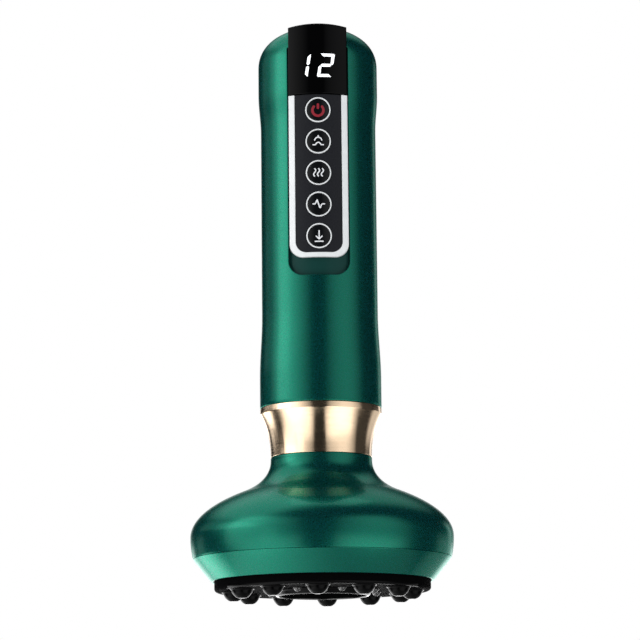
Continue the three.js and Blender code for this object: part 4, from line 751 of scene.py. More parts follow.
def half_shell(hole, inner_stop, name, node, behind=False):
    """Loops from the hole out to the half's edge, round it, and back inside to the hole.

    hole lists (loop of x and z, depth) from the inner skin to the outer one. The loops of the inner
    skin shrink from the edge to inner_stop, a share of the way from the hole.
    """
    edge = half_edge()
    start = pairs(*from_front(*hole[-1][0].T))
    grow = np.linspace(0, 1, SKIN_LOOPS)[1:-1] ** SKIN_CROWDING
    lining = np.linspace(1, inner_stop, LINING_LOOPS)
    way = [*((share, 0.0) for share in grow), *SEAM, *((share, GRIP_WALL) for share in lining)]
    rings = [facing(*loop.T, depth) for loop, depth in hole]
    rings += [on_grip(*between(start, edge, share).T, depth) for share, depth in way]
    points = np.stack(rings) * ([-1, -1, 1] if behind else 1)
    faces = grid_quads(*points.shape[:2], wrap_rows=True)
    return piece(name, points, faces, HANDLE, "green_lacquer", node)


# %% [markdown]
# ## Front half with the panel pocket
# The pocket is 1.5 mm deep with a rolled upper edge. Its floor is a ledge for the bezel and the
# window, and only shows below the bezel as a dark U, which is partly real shade and partly painted
# shade in the lacquer. Behind the panel it is open for the keys. A dark U could be painted there
# instead, but the real edge catches the light, so the pocket is real too.

# %% Front half
POCKET_HALF, POCKET_FOOT, POCKET_TOP, POCKET_CORNER = 11.45, 120.2, 208.7, 5.7
OPENING_HALF, OPENING_FOOT, OPENING_TOP, OPENING_CORNER = 9.1, 130, 206.5, 3.5
POCKET_DEPTH, FLOOR_BACK, LINING, LEDGE_RIM = 1.5, 3.2, 1.8, -0.25
LEDGE_STEPS = (0.04, 0.25, 0.5, 0.75, 0.95, 1)
# (how far outside the pocket's wall, depth), from the ledge up over the rolled edge to the skin
POCKET_EDGE = [
    (-0.08, POCKET_DEPTH - 0.06), (-0.01, POCKET_DEPTH - 0.22), (0, 0.8), (0, 0.34),
    (0.03, 0.19), (0.12, 0.07), (0.24, 0.015), (0.36, 0.0), (0.8, 0.0),
]


def pocket_loop(grow):
    """The pocket's outline, wider all round by grow."""
    return outline(POCKET_HALF + grow, POCKET_FOOT - grow, POCKET_TOP + grow, POCKET_CORNER + grow,
                   0.5 + max(grow, 0))


opening = outline(OPENING_HALF, OPENING_FOOT, OPENING_TOP, OPENING_CORNER)
ledge_rim = pocket_loop(LEDGE_RIM)
pocket = [
    (pocket_loop(LINING), GRIP_WALL),
    (pocket_loop(LINING), FLOOR_BACK),
    (opening, FLOOR_BACK),
    (opening, POCKET_DEPTH + 0.1),
    *((between(opening, ledge_rim, share), POCKET_DEPTH) for share in LEDGE_STEPS),
    *((pocket_loop(grow), depth) for grow, depth in POCKET_EDGE),
]
front = half_shell(pocket, 0.2, "grip_front", "handle_front_shell")
print(front.name, "has a pocket", POCKET_DEPTH, "mm deep")

# %% [markdown]
# The pocket's points are marked, so that the lacquer is painted darker there, as shade, and is
# duller. A second material on the pocket's faces would do as well, but it would change at a hard line.


# %% Recess
def mark(made, name, values):
    """Stores one number for each vertex of a piece, which its material reads as an attribute."""
    layer = made.data.attributes.new(name, "FLOAT", "POINT")
    layer.data.foreach_set("value", np.asarray(values, np.float32))


def places_mm(elements, key):
    """x, y and z of all vertices or faces, in millimetres."""
    place = np.empty(3 * len(elements), np.float32)
    elements.foreach_get(key, place)
    return place.reshape(-1, 3).T / MM


NEAR_WALL, BELOW_SKIN, UNDER_FLOOR = 0.1, 0.1, 0.3
x, y, z = places_mm(front.data.vertices, "co")
sunk = radius_at(z)[0] - np.hypot(x, y)
in_outline = (np.abs(x) < POCKET_HALF + NEAR_WALL) & (z > POCKET_FOOT - NEAR_WALL) & (z < POCKET_TOP)
shade_in_pocket = in_outline & (y < 0) & (sunk > BELOW_SKIN) & (sunk < POCKET_DEPTH + UNDER_FLOOR)
# this mark carries the pocket's painted shade
mark(front, "recess_shade", shade_in_pocket)
print(int(shade_in_pocket.sum()), "points in the recess")

# %% [markdown]
# ## Rear half with the charging slot
# The rear half is the same weave round a small slot low on the back. The photograph doesn't show the
# back, so the slot is a guess at where such a massager takes its charging plug. A plain half without
# a slot would be simpler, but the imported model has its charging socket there.

# %% Rear half
SLOT_Z, SLOT_HALF, SLOT_HALF_HEIGHT = 100.4, 4.77, 1.9
# (how far outside the slot's wall, depth), from the inner skin out over the rolled edge
SLOT_EDGE = [(0, GRIP_WALL), (0, 1.4), (0, 0.3), (0.06, 0.13), (0.18, 0.03), (0.34, 0.0), (0.9, 0.0)]


def slot_loop(grow):
    """The charging slot's outline, wider all round by grow; its ends are nearly half circles."""
    reach = SLOT_HALF_HEIGHT + grow
    return outline(SLOT_HALF + grow, SLOT_Z - reach, SLOT_Z + reach, reach * 0.98, reach * 0.98)


slot = [(slot_loop(grow), depth) for grow, depth in SLOT_EDGE]
half_shell(slot, 0.06, "grip_rear", "handle_rear_shell", behind=True)

# %% [markdown]
# ## Window
# The display window is a thick tongue of black acrylic. Below it sits in the pocket; above it runs
# out over the dome with an arched end, so its top is a real step that catches the light. Its edges
# are rolled, more at the top than at the sides. A black patch painted on the grip would look the same
# from straight ahead and wrong from everywhere else.


# %% Plates
def facing_plate(front, back):
    """Two grids of equal shape, one behind the other, closed by a strip round their rims."""
    rows, columns = front.shape[:2]
    number = np.arange(rows * columns).reshape(rows, columns)
    rim = np.concatenate([number[0], number[1:, -1], number[-1, -2::-1], number[-2:0:-1, 0]])
    after = np.roll(rim, -1)
    shift = rows * columns
    skin = grid_quads(rows, columns, wrap_columns=False)
    strip = np.stack([rim, after, after + shift, rim + shift], axis=1)
    faces = np.concatenate([skin, skin[:, ::-1] + shift, strip[:, ::-1]])
    return np.concatenate([front.reshape(-1, 3), back.reshape(-1, 3)]), faces


def edge_steps(length, radius, count):
    """Places along a length that crowd together in the rolled edge at each end."""
    roll = radius * (1 - np.cos(quarter_turn(7)))
    flat = np.linspace(radius * 1.5, length - radius * 1.5, count)
    return np.concatenate([roll, flat, length - roll[::-1]])


def rolled(distance, radius):
    """How far a rolled edge has dropped at a distance from the edge."""
    left = np.clip(radius - distance, 0, radius)
    return radius - np.sqrt(radius**2 - left**2)


# %% Window
WINDOW_HALF, WINDOW_FOOT, WINDOW_TOP, WINDOW_ARCH = 11.15, 189.7, 217.2, 0.85
WINDOW_FACE, WINDOW_SIDE_ROLL, WINDOW_TOP_ROLL, WINDOW_THICK = 23.25, 0.3, 0.8, 0.4
SEAT_CLEAR, STEP_Z = 0.3, 208.4
share, x = np.meshgrid(
    edge_steps(1.0, 0.03, 44), edge_steps(2 * WINDOW_HALF, WINDOW_SIDE_ROLL, 40) - WINDOW_HALF,
    indexing="ij",
)
top = WINDOW_TOP - WINDOW_ARCH * (x / WINDOW_HALF) ** 2
z = WINDOW_FOOT + (top - WINDOW_FOOT) * share
drop = np.maximum(
    rolled(WINDOW_HALF - np.abs(x), WINDOW_SIDE_ROLL),
    np.maximum(rolled(top - z, WINDOW_TOP_ROLL), rolled(z - WINDOW_FOOT, WINDOW_SIDE_ROLL)),
)
window_face = np.stack([x, -np.sqrt(WINDOW_FACE**2 - x**2) + drop, z], axis=-1)
seat = np.where(z < STEP_Z, POCKET_DEPTH - SEAT_CLEAR, -SEAT_CLEAR)
window_back = facing(x, z, seat)
window_back[..., 1] = np.maximum(window_back[..., 1], window_face[..., 1] + WINDOW_THICK)
piece("window", *facing_plate(window_face, window_back), HANDLE, "black_gloss", "display_window")

# %% [markdown]
# The digits glow through the window. Each is made of the bars of a seven-bar display, slanted and cut
# to points, so that neighbours meet at a mitre. A bar is a thin closed plate on the window's curve,
# and so is a stroke: a line that gets a width and round ends, for the signs on the caps. A text
# object would be quicker, but a font's numbers aren't made of bars.


# %% Strokes
def stroke(line, width, surface, proud):
    """A flat stroke with round ends along a line of (x, z) points: a grid above the surface, one below.

    Its half width is half the width times the root of 1 - t squared, where t runs to 1 over the last
    half width of the line.
    """
    line = np.asarray(line, float)
    reach = np.concatenate([[0], np.cumsum(np.linalg.norm(np.diff(line, axis=0), axis=1))])
    bend = width / 2 * (1 - np.cos(quarter_turn(6)))
    straight_part = np.linspace(width * 0.7, reach[-1] - width * 0.7, 15)
    place = np.concatenate([bend, straight_part, reach[-1] - bend[::-1]])
    x, z = (np.interp(place, reach, axis) for axis in line.T)
    along = unit(np.gradient(pairs(x, z), place, axis=0))
    left = np.clip(np.minimum(place, reach[-1] - place) / (width / 2), 0, 1)
    half = width / 2 * np.sqrt(1 - (1 - left) ** 2)
    share = np.linspace(-1, 1, 5)
    x = x[:, None] - along[:, 1:] * half[:, None] * share
    z = z[:, None] + along[:, :1] * half[:, None] * share
    return facing_plate(surface(x, z, proud), surface(x, z, -proud))


def merged(parts):
    """Points and faces of several meshes as those of one."""
    points = [np.asarray(made).reshape(-1, 3) for made, _ in parts]
    starts = np.cumsum([0] + [len(made) for made in points])
    faces = [np.asarray(quads) + start for (_, quads), start in zip(parts, starts)]
    return np.concatenate(points), np.concatenate(faces)


# %% Digits
BAR_WIDTH, BAR_GAP, DIGIT_SLANT, DIGIT_HEIGHT, DIGIT_WIDTH = 1.08, 0.13, 0.16, 8.0, 4.35
DIGIT_FOOT, DIGIT_PROUD, FIRST_X, SECOND_X = 196.6, 0.03, -8.65, 0.4
# both ends of each bar, as (side of the digit, height in halves of the digit)
BARS = {
    "top": ((0, 2), (1, 2)), "upper_right": ((1, 2), (1, 1)), "lower_right": ((1, 1), (1, 0)),
    "foot": ((1, 0), (0, 0)), "lower_left": ((0, 0), (0, 1)), "middle": ((0, 1), (1, 1)),
}


def on_window(x, z, proud):
    """Digits are drawn upright; here they are slanted, raised to their place and laid on the window."""
    x = x + z * DIGIT_SLANT
    return np.stack([x, -np.sqrt(WINDOW_FACE**2 - x**2) - proud, z + DIGIT_FOOT], axis=-1)


def bar(name, left):
    """One bar of a digit, named clockwise. Across runs from -1 at its inner side to 1 at its outer side.

    At a corner of the digit the outer side runs on by half a width and the inner one stops short by
    as much; at mid height the bar ends in a point.
    """
    places = [np.array(place) * [DIGIT_WIDTH, DIGIT_HEIGHT / 2] for place in BARS[name]]
    length = np.linalg.norm(places[1] - places[0])
    along = (places[1] - places[0]) / length
    across, half = np.linspace(-1, 1, 7), BAR_WIDTH / 2
    back = [BAR_GAP + half * (abs(across) if place[1] == 1 else -across) for place in BARS[name]]
    share = np.linspace(0, 1, 17)[:, None]
    reach = back[0] * (1 - share) + (length - back[1]) * share
    x = places[0][0] + left + along[0] * reach - along[1] * half * across
    z = places[0][1] + along[1] * reach + along[0] * half * across
    return facing_plate(on_window(x, z, DIGIT_PROUD), on_window(x, z, -DIGIT_PROUD))


shown = [(name, FIRST_X) for name in ("upper_right", "lower_right")]
shown += [(name, SECOND_X) for name in ("top", "upper_right", "middle", "lower_left", "foot")]
bars = merged([bar(*row) for row in shown])
piece("display_digits", *bars, HANDLE, "display_light", smooth_angle=20)

# %% [markdown]
# ## Bezel
# The bright frame is one strip bent into a U, open under the window. It stands a quarter of a
# millimetre proud of the lacquer, and its rolled edges are what makes its thin bright outline. A
# bevelled curve could make it too, but not with a foot that is narrower than its sides.


# %% Bezel
def u_path(half, foot, top, corner):
    """An open U of (x, z): down the left side, round both lower corners and up the right side."""
    turn = quarter_turn(28)
    side = pairs(-half, np.linspace(top, foot + corner, 90, endpoint=False))
    bend = pairs(-half + corner * (1 - np.cos(turn)), foot + corner * (1 - np.sin(turn)))
    floor = pairs(np.linspace(-half + corner, 0, 14)[1:], foot)
    one_side = np.concatenate([side, bend, floor])
    return np.concatenate([one_side, one_side[-2::-1] * [-1, 1]])


BEZEL_HALF, BEZEL_FOOT, PANEL_TOP, BEZEL_CORNER, KEY_CORNER = 11.15, 126.8, 189.4, 5.5, 4.35
BEZEL_STROKE, FOOT_STROKE, BEZEL_PROUD, BEZEL_ROLL, TRIM_BACK = 2.3, 1.8, 0.25, 0.3, 1.2
outer = u_path(BEZEL_HALF, BEZEL_FOOT, PANEL_TOP, BEZEL_CORNER)
inner = u_path(BEZEL_HALF - BEZEL_STROKE, BEZEL_FOOT + FOOT_STROKE, PANEL_TOP, KEY_CORNER)
places = edge_steps(BEZEL_STROKE, BEZEL_ROLL, 7)
depths = rolled(np.minimum(places, BEZEL_STROKE - places), BEZEL_ROLL) - BEZEL_PROUD
section = [(0, TRIM_BACK), *zip(places / BEZEL_STROKE, depths), (1, TRIM_BACK)]
points = np.stack([facing(*between(outer, inner, share).T, depth) for share, depth in section])
rows, columns = points.shape[:2]
faces = grid_quads(rows, columns, wrap_rows=True, wrap_columns=False).tolist()
ends = np.arange(rows) * columns
faces += [ends.tolist(), (ends[::-1] + columns - 1).tolist()]
piece("bezel", points, faces, HANDLE, "bright_trim", "panel_bezel")

# %% [markdown]
# ## Key panel
# The panel is a thin film-faced plate with five round holes. It is woven from five cells, one round
# each hole: loops grow from the hole to the cell's border, and neighbours share their border points.
# Holes cut by a boolean would be shorter to write, but they leave long thin faces on a curved plate.

# %% Key panel
FOOT_SIDE, RIGHT_SIDE, TOP_SIDE, LEFT_SIDE = range(4)


def cell_border(half, low, high, corner=0.0):
    """Points round a cell, (x, z) from its lower left corner, and the side that each is on.

    The lower corners may be rounded.
    """
    turn = quarter_turn(13)[1:-1] if corner else np.zeros(0)
    bend = pairs(half - corner + corner * np.sin(turn), low + corner * (1 - np.cos(turn)))
    side = np.linspace(low + corner, high, 26)[(0 if corner else 1):-1]
    right = np.concatenate([bend, pairs(half, side)])
    foot, top = (
        np.linspace((-reach, z), (reach, z), count)
        for reach, z, count in ((half - corner, low, 31 if corner else 41), (half, high, 41)))
    sides = [foot, right, top[::-1], right[::-1] * [-1, 1]]
    return np.concatenate(sides), np.repeat(np.arange(4), [len(points) for points in sides])


def along_side(side_of, side):
    """True where a point of a border and the next one are both on one side of the cell."""
    return (side_of == side) & (np.roll(side_of, -1) == side)


KEYS = {"power": 183.45, "suction": 171.3, "heat": 159.15, "pulse": 147.0, "release": 134.85}
FIT, PANEL_SUNK, HOLE_RADIUS = 0.15, 0.1, 4.95
PANEL_HALF, PANEL_FOOT = BEZEL_HALF - BEZEL_STROKE - FIT, BEZEL_FOOT + FOOT_STROKE + FIT
# (share of the way from the hole to the border, depth), from the hole's wall to the outer wall
PANEL_LOOPS = [(0, TRIM_BACK), (0, 0.3), (0.004, 0.18), (0.02, 0.11)]
PANEL_LOOPS += [(share, PANEL_SUNK) for share in (0.04, 0.2, 0.4, 0.6, 0.8, 0.97, 1)] + [(1, TRIM_BACK)]
OUTER_WALL = len(PANEL_LOOPS) - 2
centres = list(KEYS.values())
middles = [(a + b) / 2 for a, b in zip(centres, centres[1:])]
cells = []
for centre, high, low in zip(centres, [PANEL_TOP, *middles], [*middles, PANEL_FOOT]):
    first, last = centre == centres[0], centre == centres[-1]
    border, side_of = cell_border(PANEL_HALF, low, high, KEY_CORNER - FIT if last else 0.0)
    hole = unit(border - [0, centre]) * HOLE_RADIUS + [0, centre]
    rows = np.stack([facing(*between(hole, border, share).T, depth) for share, depth in PANEL_LOOPS])
    quads = grid_quads(*rows.shape[:2], wrap_rows=True).reshape(len(PANEL_LOOPS), len(border), 4)
    shared = along_side(side_of, TOP_SIDE) & (not first) | along_side(side_of, FOOT_SIDE) & (not last)
    kept = [quads[:OUTER_WALL].reshape(-1, 4), quads[OUTER_WALL][~shared], quads[-1]]
    cells.append((rows, np.concatenate(kept)))
piece("key_panel", *merged(cells), HANDLE, "panel_film", "control_panel")

# %% [markdown]
# ## Buttons
# Each key is a bright ring set in the panel and a glossy cap inside it, which sinks half a millimetre.
# Both are turned from a section and then laid on the grip's curve. Flat rings would be simpler, but
# the panel falls away at both sides, and they would stand off it there.


# %% Rings and caps
def laid_on_grip(profile, centre_z):
    """A section of (radius, height above the surface) turned round a key's axis, on the grip's curve."""
    angle = whole_turn(96)
    radius, height = np.asarray(profile, float).T[..., None]
    points = facing(radius * np.sin(angle), centre_z + radius * np.cos(angle))
    points[..., 1] -= height
    return points


RING_OUTER, RING_STROKE, RING_PROUD, RING_BACK = 4.8, 0.5, 0.3, 1.4
CAP_RADIUS, CAP_CROWN, CROWN_EDGE, CAP_FOOT = 4.2, 0.3, 0.25, 1.8
LIP, LIP_THICK, STEM_RADIUS, STEM_FOOT = 0.6, 0.7, 1.2, 4.3
arch = np.linspace(math.pi, 0, 13)
ring_profile = [
    (RING_OUTER - RING_STROKE, -RING_BACK),
    *zip(RING_OUTER - RING_STROKE / 2 + RING_STROKE / 2 * np.cos(arch), RING_PROUD * np.sin(arch) ** 0.8),
    (RING_OUTER, -RING_BACK),
]
dish = np.linspace(0, 1, 14)[1:]
cap_profile = [
    (0.0, CAP_CROWN),
    *zip((CAP_RADIUS - CROWN_EDGE) * dish, CAP_CROWN * (1 - dish**2)),
    (CAP_RADIUS - 0.1, -0.04), (CAP_RADIUS - 0.02, -0.13), (CAP_RADIUS, -0.28),
    (CAP_RADIUS, -CAP_FOOT), (CAP_RADIUS + LIP, -CAP_FOOT),
    (CAP_RADIUS + LIP, -CAP_FOOT - LIP_THICK), (STEM_RADIUS, -CAP_FOOT - LIP_THICK),
    (STEM_RADIUS, -STEM_FOOT), (0.0, -STEM_FOOT),
]
for name, centre in KEYS.items():
    ring, cap = laid_on_grip(ring_profile, centre), laid_on_grip(cap_profile, centre)
    piece(f"key_ring_{name}", ring, grid_quads(*ring.shape[:2], wrap_rows=True),
          HANDLE, "bright_trim", f"ring_{name}")
    piece(f"key_cap_{name}", cap, grid_quads(*cap.shape[:2]),
          f"{name}_key", "cap_plastic", f"button_{name}")

# %% [markdown]
# The caps carry plain signs instead of words: a power sign in red, a cup over skin, heat waves, a
# pulse and an arrow for letting the air out. Each stroke is a flat ribbon with round ends, printed a
# few hundredths of a millimetre thick, and it moves with its cap. A picture on the cap would do from
# afar, but its edges would be soft at close range.

# %% Signs
SIGN_PROUD, SIGN_STROKE, POWER_STROKE = 0.03, 0.46, 0.95


def on_cap(centre_z):
    """A function of (x, z, proud) that lays points on the crown of the cap at centre_z."""
    def lay(x, z, proud):
        reach = np.hypot(x, z - centre_z) / (CAP_RADIUS - CROWN_EDGE)
        points = facing(x, z)
        points[..., 1] -= CAP_CROWN * (1 - reach**2) + proud
        return points

    return lay


def arc_line(radius, start, end, centre=(0, 0)):
    """Points on an arc between two angles in degrees, counted from the right, counterclockwise."""
    angle = np.radians(np.linspace(start, end, 25))
    return pairs(centre[0] + radius * np.cos(angle), centre[1] + radius * np.sin(angle))


def straight(*points):
    """Nine even places on each straight run between neighbouring points, corners once only."""
    runs = [np.linspace(a, b, 9)[:-1] for a, b in zip(points, points[1:])]
    return np.concatenate([*runs, [points[-1]]])


wave = np.linspace(-1.6, 1.6, 25)
SIGNS = {
    "power": [arc_line(2.1, 125, 415, (0, -0.25)), straight((0, 0.2), (0, 2.4))],
    "suction": [arc_line(1.35, 180, 0, (0, 0.1)), straight((-2.2, -1.45), (-0.9, -1.45)),
                arc_line(0.9, 180, 0, (0, -1.45)), straight((0.9, -1.45), (2.2, -1.45)),
                straight((0, 1.5), (0, 2.3))],
    "heat": [pairs(0.42 * np.sin(wave * 2.1) + x, wave) for x in (-1.45, 0, 1.45)],
    "pulse": [straight((-2.4, 0), (-1.3, 0), (-0.65, 1.7), (0.45, -1.8), (1.1, 0), (2.4, 0))],
    "release": [straight((0, 2.1), (0, -1.2)), straight((-1.25, -0.1), (0, -1.35), (1.25, -0.1)),
                straight((-1.7, -2.2), (1.7, -2.2))],
}
for name, centre in KEYS.items():
    width, ink = (POWER_STROKE, "sign_red") if name == "power" else (SIGN_STROKE, "sign_white")
    strokes = [stroke(line + [0, centre], width, on_cap(centre), SIGN_PROUD) for line in SIGNS[name]]
    piece(f"sign_{name}", *merged(strokes), f"{name}_key", ink, smooth_angle=20)

# %% [markdown]
# ## Collar
# The collar is one turned ring: a bore, a flare that opens faster and faster towards the grip, a crease
# and a short straight band. Small rounds at the crease and the ends catch thin lines of light. A few
# straight cones would come close to that line, but plating shows each kink as a broken streak.

# %% Collar
COLLAR_FOOT, CREASE_Z, COLLAR_TOP, NECK_RADIUS, COLLAR_RADIUS = 53.7, 70.0, 72.25, 19.16, 23.1
COLLAR_BORE, FLARE_POWER = 17.9, 2.2
share = np.linspace(0, 1, 60)
flare = pairs(
    between(NECK_RADIUS, COLLAR_RADIUS, share**FLARE_POWER), between(COLLAR_FOOT, CREASE_Z, share))
foot_round = rounded(
    [(COLLAR_BORE, COLLAR_FOOT), (NECK_RADIUS, COLLAR_FOOT), flare[1]], [0.1, 0.2, 0], steps=6)[6:12]
top_round = [(0.0, -0.2), (-0.03, -0.09), (-0.09, -0.03), (-0.2, 0.0)]
band = [(COLLAR_RADIUS, CREASE_Z + 0.15), *np.add(top_round, (COLLAR_RADIUS, COLLAR_TOP))]
collar_profile = np.concatenate([
    [(COLLAR_BORE, COLLAR_FOOT + 0.1)], foot_round, flare[2:], band, [(COLLAR_BORE, COLLAR_TOP)]])
piece("collar", *turned(collar_profile, 320), HANDLE, "gold_plate", "gold_collar")

# %% [markdown]
# ## Head
# The head is a mushroom: its outer line is a short belly, a full shoulder and a long hollow up to the
# neck, each a curve that leaves in the direction in which the last one arrived. Inside, the wall
# follows it, and a spigot rises through the collar into the grip. A flattened ball would be quicker,
# but it has no hollow under the neck, and the hollow is what makes the shape a mushroom.

# %% Head
HEAD_FOOT, BELLY_Z, SHOULDER_Z, NECK_Z, HEAD_TOP = 15.6, 23.5, 40.5, 52.7, 53.6
RIM_RADIUS, HEAD_RADIUS, SHOULDER_RADIUS, HEAD_WALL = 48.6, 49.5, 30.0, 2.4
SPIGOT_RADIUS, SPIGOT_BORE, SPIGOT_FLANGE, FLANGE_Z, SPIGOT_TOP = 17.6, 15.2, 19.6, 79.1, 81.5
rim, belly_top = (RIM_RADIUS, HEAD_FOOT), (HEAD_RADIUS, BELLY_Z)
shoulder_top, neck = (SHOULDER_RADIUS, SHOULDER_Z), (NECK_RADIUS, NECK_Z)
belly = bezier(rim, (HEAD_RADIUS, 19.55), belly_top, steps=24)
shoulder = bezier(belly_top, (HEAD_RADIUS, 31.5), (38.8, 37.14), shoulder_top, steps=72)
hollow = bezier(shoulder_top, (24.5, 42.6), (NECK_RADIUS, 46.5), neck, steps=56)
head_line = np.concatenate([belly, shoulder[1:], hollow[1:]])
along = unit(np.gradient(head_line, axis=0))
inside = head_line + pairs(-along[:, 1], along[:, 0]) * HEAD_WALL
inside[:, 1] = np.maximum(inside[:, 1], HEAD_FOOT)
head_profile = np.concatenate([
    [(RIM_RADIUS - HEAD_WALL, HEAD_FOOT), (RIM_RADIUS - 0.18, HEAD_FOOT),
     (RIM_RADIUS - 0.05, HEAD_FOOT + 0.05)],
    head_line[1:],
    [(NECK_RADIUS, HEAD_TOP - 0.2), (NECK_RADIUS - 0.06, HEAD_TOP - 0.06), (NECK_RADIUS - 0.2, HEAD_TOP),
     (SPIGOT_RADIUS, HEAD_TOP), (SPIGOT_RADIUS, FLANGE_Z), (SPIGOT_FLANGE, FLANGE_Z),
     (SPIGOT_FLANGE, SPIGOT_TOP), (SPIGOT_BORE, SPIGOT_TOP), (SPIGOT_BORE, HEAD_TOP)],
    inside[::-3],
])
piece("head", *turned(head_profile, 384), HANDLE, "green_lacquer", "head_shell")

# %% [markdown]
# The rim band is a separate cone under the head, lacquered alike. It slopes in towards the pad, so it
# catches the light from below and reads lighter than the head in the photograph. It could be the
# last stretch of the head's own profile, but the real one is a part by itself, with a fine seam.

# %% Rim band
BAND_FOOT, BAND_TOP, LEDGE_Z = 7.05, 15.55, 13.3
BAND_FOOT_RADIUS, BAND_BORE, LEDGE_RADIUS = 41.8, 40.9, 38.5
band_profile = rounded(
    [(BAND_BORE, BAND_FOOT), (BAND_FOOT_RADIUS, BAND_FOOT), (RIM_RADIUS, BAND_TOP),
     (LEDGE_RADIUS, BAND_TOP), (LEDGE_RADIUS, LEDGE_Z), (BAND_BORE, LEDGE_Z)],
    [0.15, 0.28, 0.28, 0.2, 0.2, 0.1],
)
piece("rim_band", *turned(band_profile, 384), HANDLE, "green_lacquer", "rim_band")

# %% [markdown]
# ## Pad
# The pad is one piece of rubber with twelve large knobs, eight small ones and a lip round the opening.
# Two rings of cells carry the knobs: in each cell, loops grow from the knob's tip over its flank and
# through a fillet to the cell's border. Separate balls sunk in a disc would lack that fillet.

# %% Pad cells
PAD_FACE, RING_COUNT, PAD_TURN, KNOB_POWER = 3.3, 240, -math.radians(3), 1.15
OUTER_CELL, MIDDLE_CELL, INNER_CELL = 38.9, 25.9, 19.1
LARGE_COUNT, LARGE_CIRCLE, SMALL_COUNT, SMALL_CIRCLE = 12, 33.4, 8, 21.4


def knob_rows(radius, height, flat, fillet):
    """(distance from the knob's axis, height) from its tip, over the flank, to the end of the fillet."""
    turn = np.linspace(math.pi / 2, 0.16, 16)
    out, down = np.cos(turn) ** KNOB_POWER, np.sin(turn) ** KNOB_POWER
    flank = pairs(between(flat, radius, out), PAD_FACE - height * down)
    turn = np.linspace(0.25, math.pi / 2, 6)
    foot = pairs(radius + fillet * (1 - np.cos(turn)), PAD_FACE - fillet * (1 - np.sin(turn)))
    return np.concatenate([[(0.0, PAD_FACE - height), (flat * 0.6, PAD_FACE - height)], flank, foot])


def knob_cell(centre_angle, count, inner, outer, knob_circle, rows):
    """Loops from a knob's tip to the border of its cell, a slice of the ring between two circles."""
    steps, half = RING_COUNT // count + 1, math.pi / count
    turn = np.linspace(-half, half, steps)
    side = np.linspace(inner, outer, 13)[1:-1]
    radius = np.concatenate([np.full(steps, inner), side, np.full(steps, outer), side[::-1]])
    ends = np.full(len(side), half)
    angle = np.concatenate([turn, ends, turn[::-1], -ends]) + centre_angle
    border, middle = pairs(*polar(radius, angle)), np.array(polar(knob_circle, centre_angle))
    away = unit(border - middle)
    foot = middle + away * rows[-1][0]
    loops = [(middle + away * reach, height) for reach, height in rows]
    loops += [(between(foot, border, share), PAD_FACE) for share in (0.3, 0.65, 1)]
    points = np.stack([np.insert(places, 2, height, axis=1) for places, height in loops])
    return points, grid_quads(*points.shape[:2])


large = knob_rows(radius=4.0, height=3.3, flat=1.0, fillet=0.8)
small = knob_rows(radius=1.5, height=1.4, flat=0.0, fillet=0.3)
cells = [
    knob_cell(PAD_TURN + 2 * math.pi * i / LARGE_COUNT, LARGE_COUNT, MIDDLE_CELL, OUTER_CELL,
              LARGE_CIRCLE, large)
    for i in range(LARGE_COUNT)
]
cells += [
    knob_cell(PAD_TURN + 2 * math.pi * (i + 0.5) / SMALL_COUNT, SMALL_COUNT, INNER_CELL, MIDDLE_CELL,
              SMALL_CIRCLE, small)
    for i in range(SMALL_COUNT)
]
print(len(cells), "knob cells")

# %% [markdown]
# The rest of the pad is one turned profile, which meets the cells at their outer and inner circle.
# The knobs, the lip and the rolled edge of the front are glossier than the wall. Their faces take
# other materials of the same piece, because pieces of their own would leave seams in the rubber.

# %% Pad
PAD_RADIUS, PAD_TOP, PLATE_TOP, EDGE_ROUND = 40.6, 10.3, 6.0, 1.2
SKIRT_INNER, PLATE_INNER, PAD_BORE, BORE_FOOT = 38.4, 19.3, 17.5, 3.9
LIP_INNER, LIP_CREST, LIP_TIP, LIP_ROUND_TOP = 16.6, 17.0, 1.4, 2.1
EDGE_GLOSS, LIP_GLOSS, FACE_GLOSS = 35, 0.3, 0.02
turn = quarter_turn(9)
edge = pairs(PAD_RADIUS - EDGE_ROUND * (1 - np.sin(turn)), PAD_FACE + EDGE_ROUND * (1 - np.cos(turn)))
lip_tip = (LIP_CREST, LIP_TIP)
lip_round = bezier((LIP_INNER, LIP_ROUND_TOP), (LIP_INNER, LIP_TIP), lip_tip, steps=8)
lip_flank = bezier(lip_tip, (17.9, LIP_TIP), (18.0, PAD_FACE), (INNER_CELL, PAD_FACE), steps=14)
pad_profile = np.concatenate([
    [(OUTER_CELL, PAD_FACE)], edge,
    [(PAD_RADIUS, PAD_TOP - 0.2), (PAD_RADIUS - 0.2, PAD_TOP), (SKIRT_INNER, PAD_TOP),
     (SKIRT_INNER, PLATE_TOP), (PLATE_INNER, PLATE_TOP), (PLATE_INNER, PAD_TOP), (PAD_BORE, PAD_TOP),
     (PAD_BORE, BORE_FOOT), (LIP_INNER, BORE_FOOT)],
    lip_round, lip_flank[1:],
])
body_and_cells = merged([turned(pad_profile, RING_COUNT, closed=False), *cells])
pad = piece("pad", *body_and_cells, HANDLE, "pad_rubber", "massage_pad")
pad.data.materials.append(MATERIALS["knob_rubber"])
pad.data.materials.append(MATERIALS["lip_rubber"])
x, y, z = places_mm(pad.data.polygons, "center")
from_axis = np.hypot(x, y)
on_edge = (from_axis > PAD_RADIUS - EDGE_ROUND) & (z < PAD_FACE + 0.8 * EDGE_ROUND) & (abs(x) < EDGE_GLOSS)
glossy = on_edge | (z < PAD_FACE - FACE_GLOSS)
on_lip = glossy & (from_axis < MIDDLE_CELL) & ((from_axis > INNER_CELL) | (z < LIP_TIP + LIP_GLOSS))
pad.data.polygons.foreach_set("material_index", glossy.astype(np.int32) + on_lip)
print(int(glossy.sum()), "glossy faces,", int(on_lip.sum()), "of them at the lip")

# %% [markdown]
# ## Suction bowl
# Behind the opening sits a smoked cup with a domed roof, a flange that is clamped against the pad
# carrier and a hollow nipple for the air hose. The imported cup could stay, since little of it shows,
# but its flat faces can be counted from below, so it is turned again more finely.

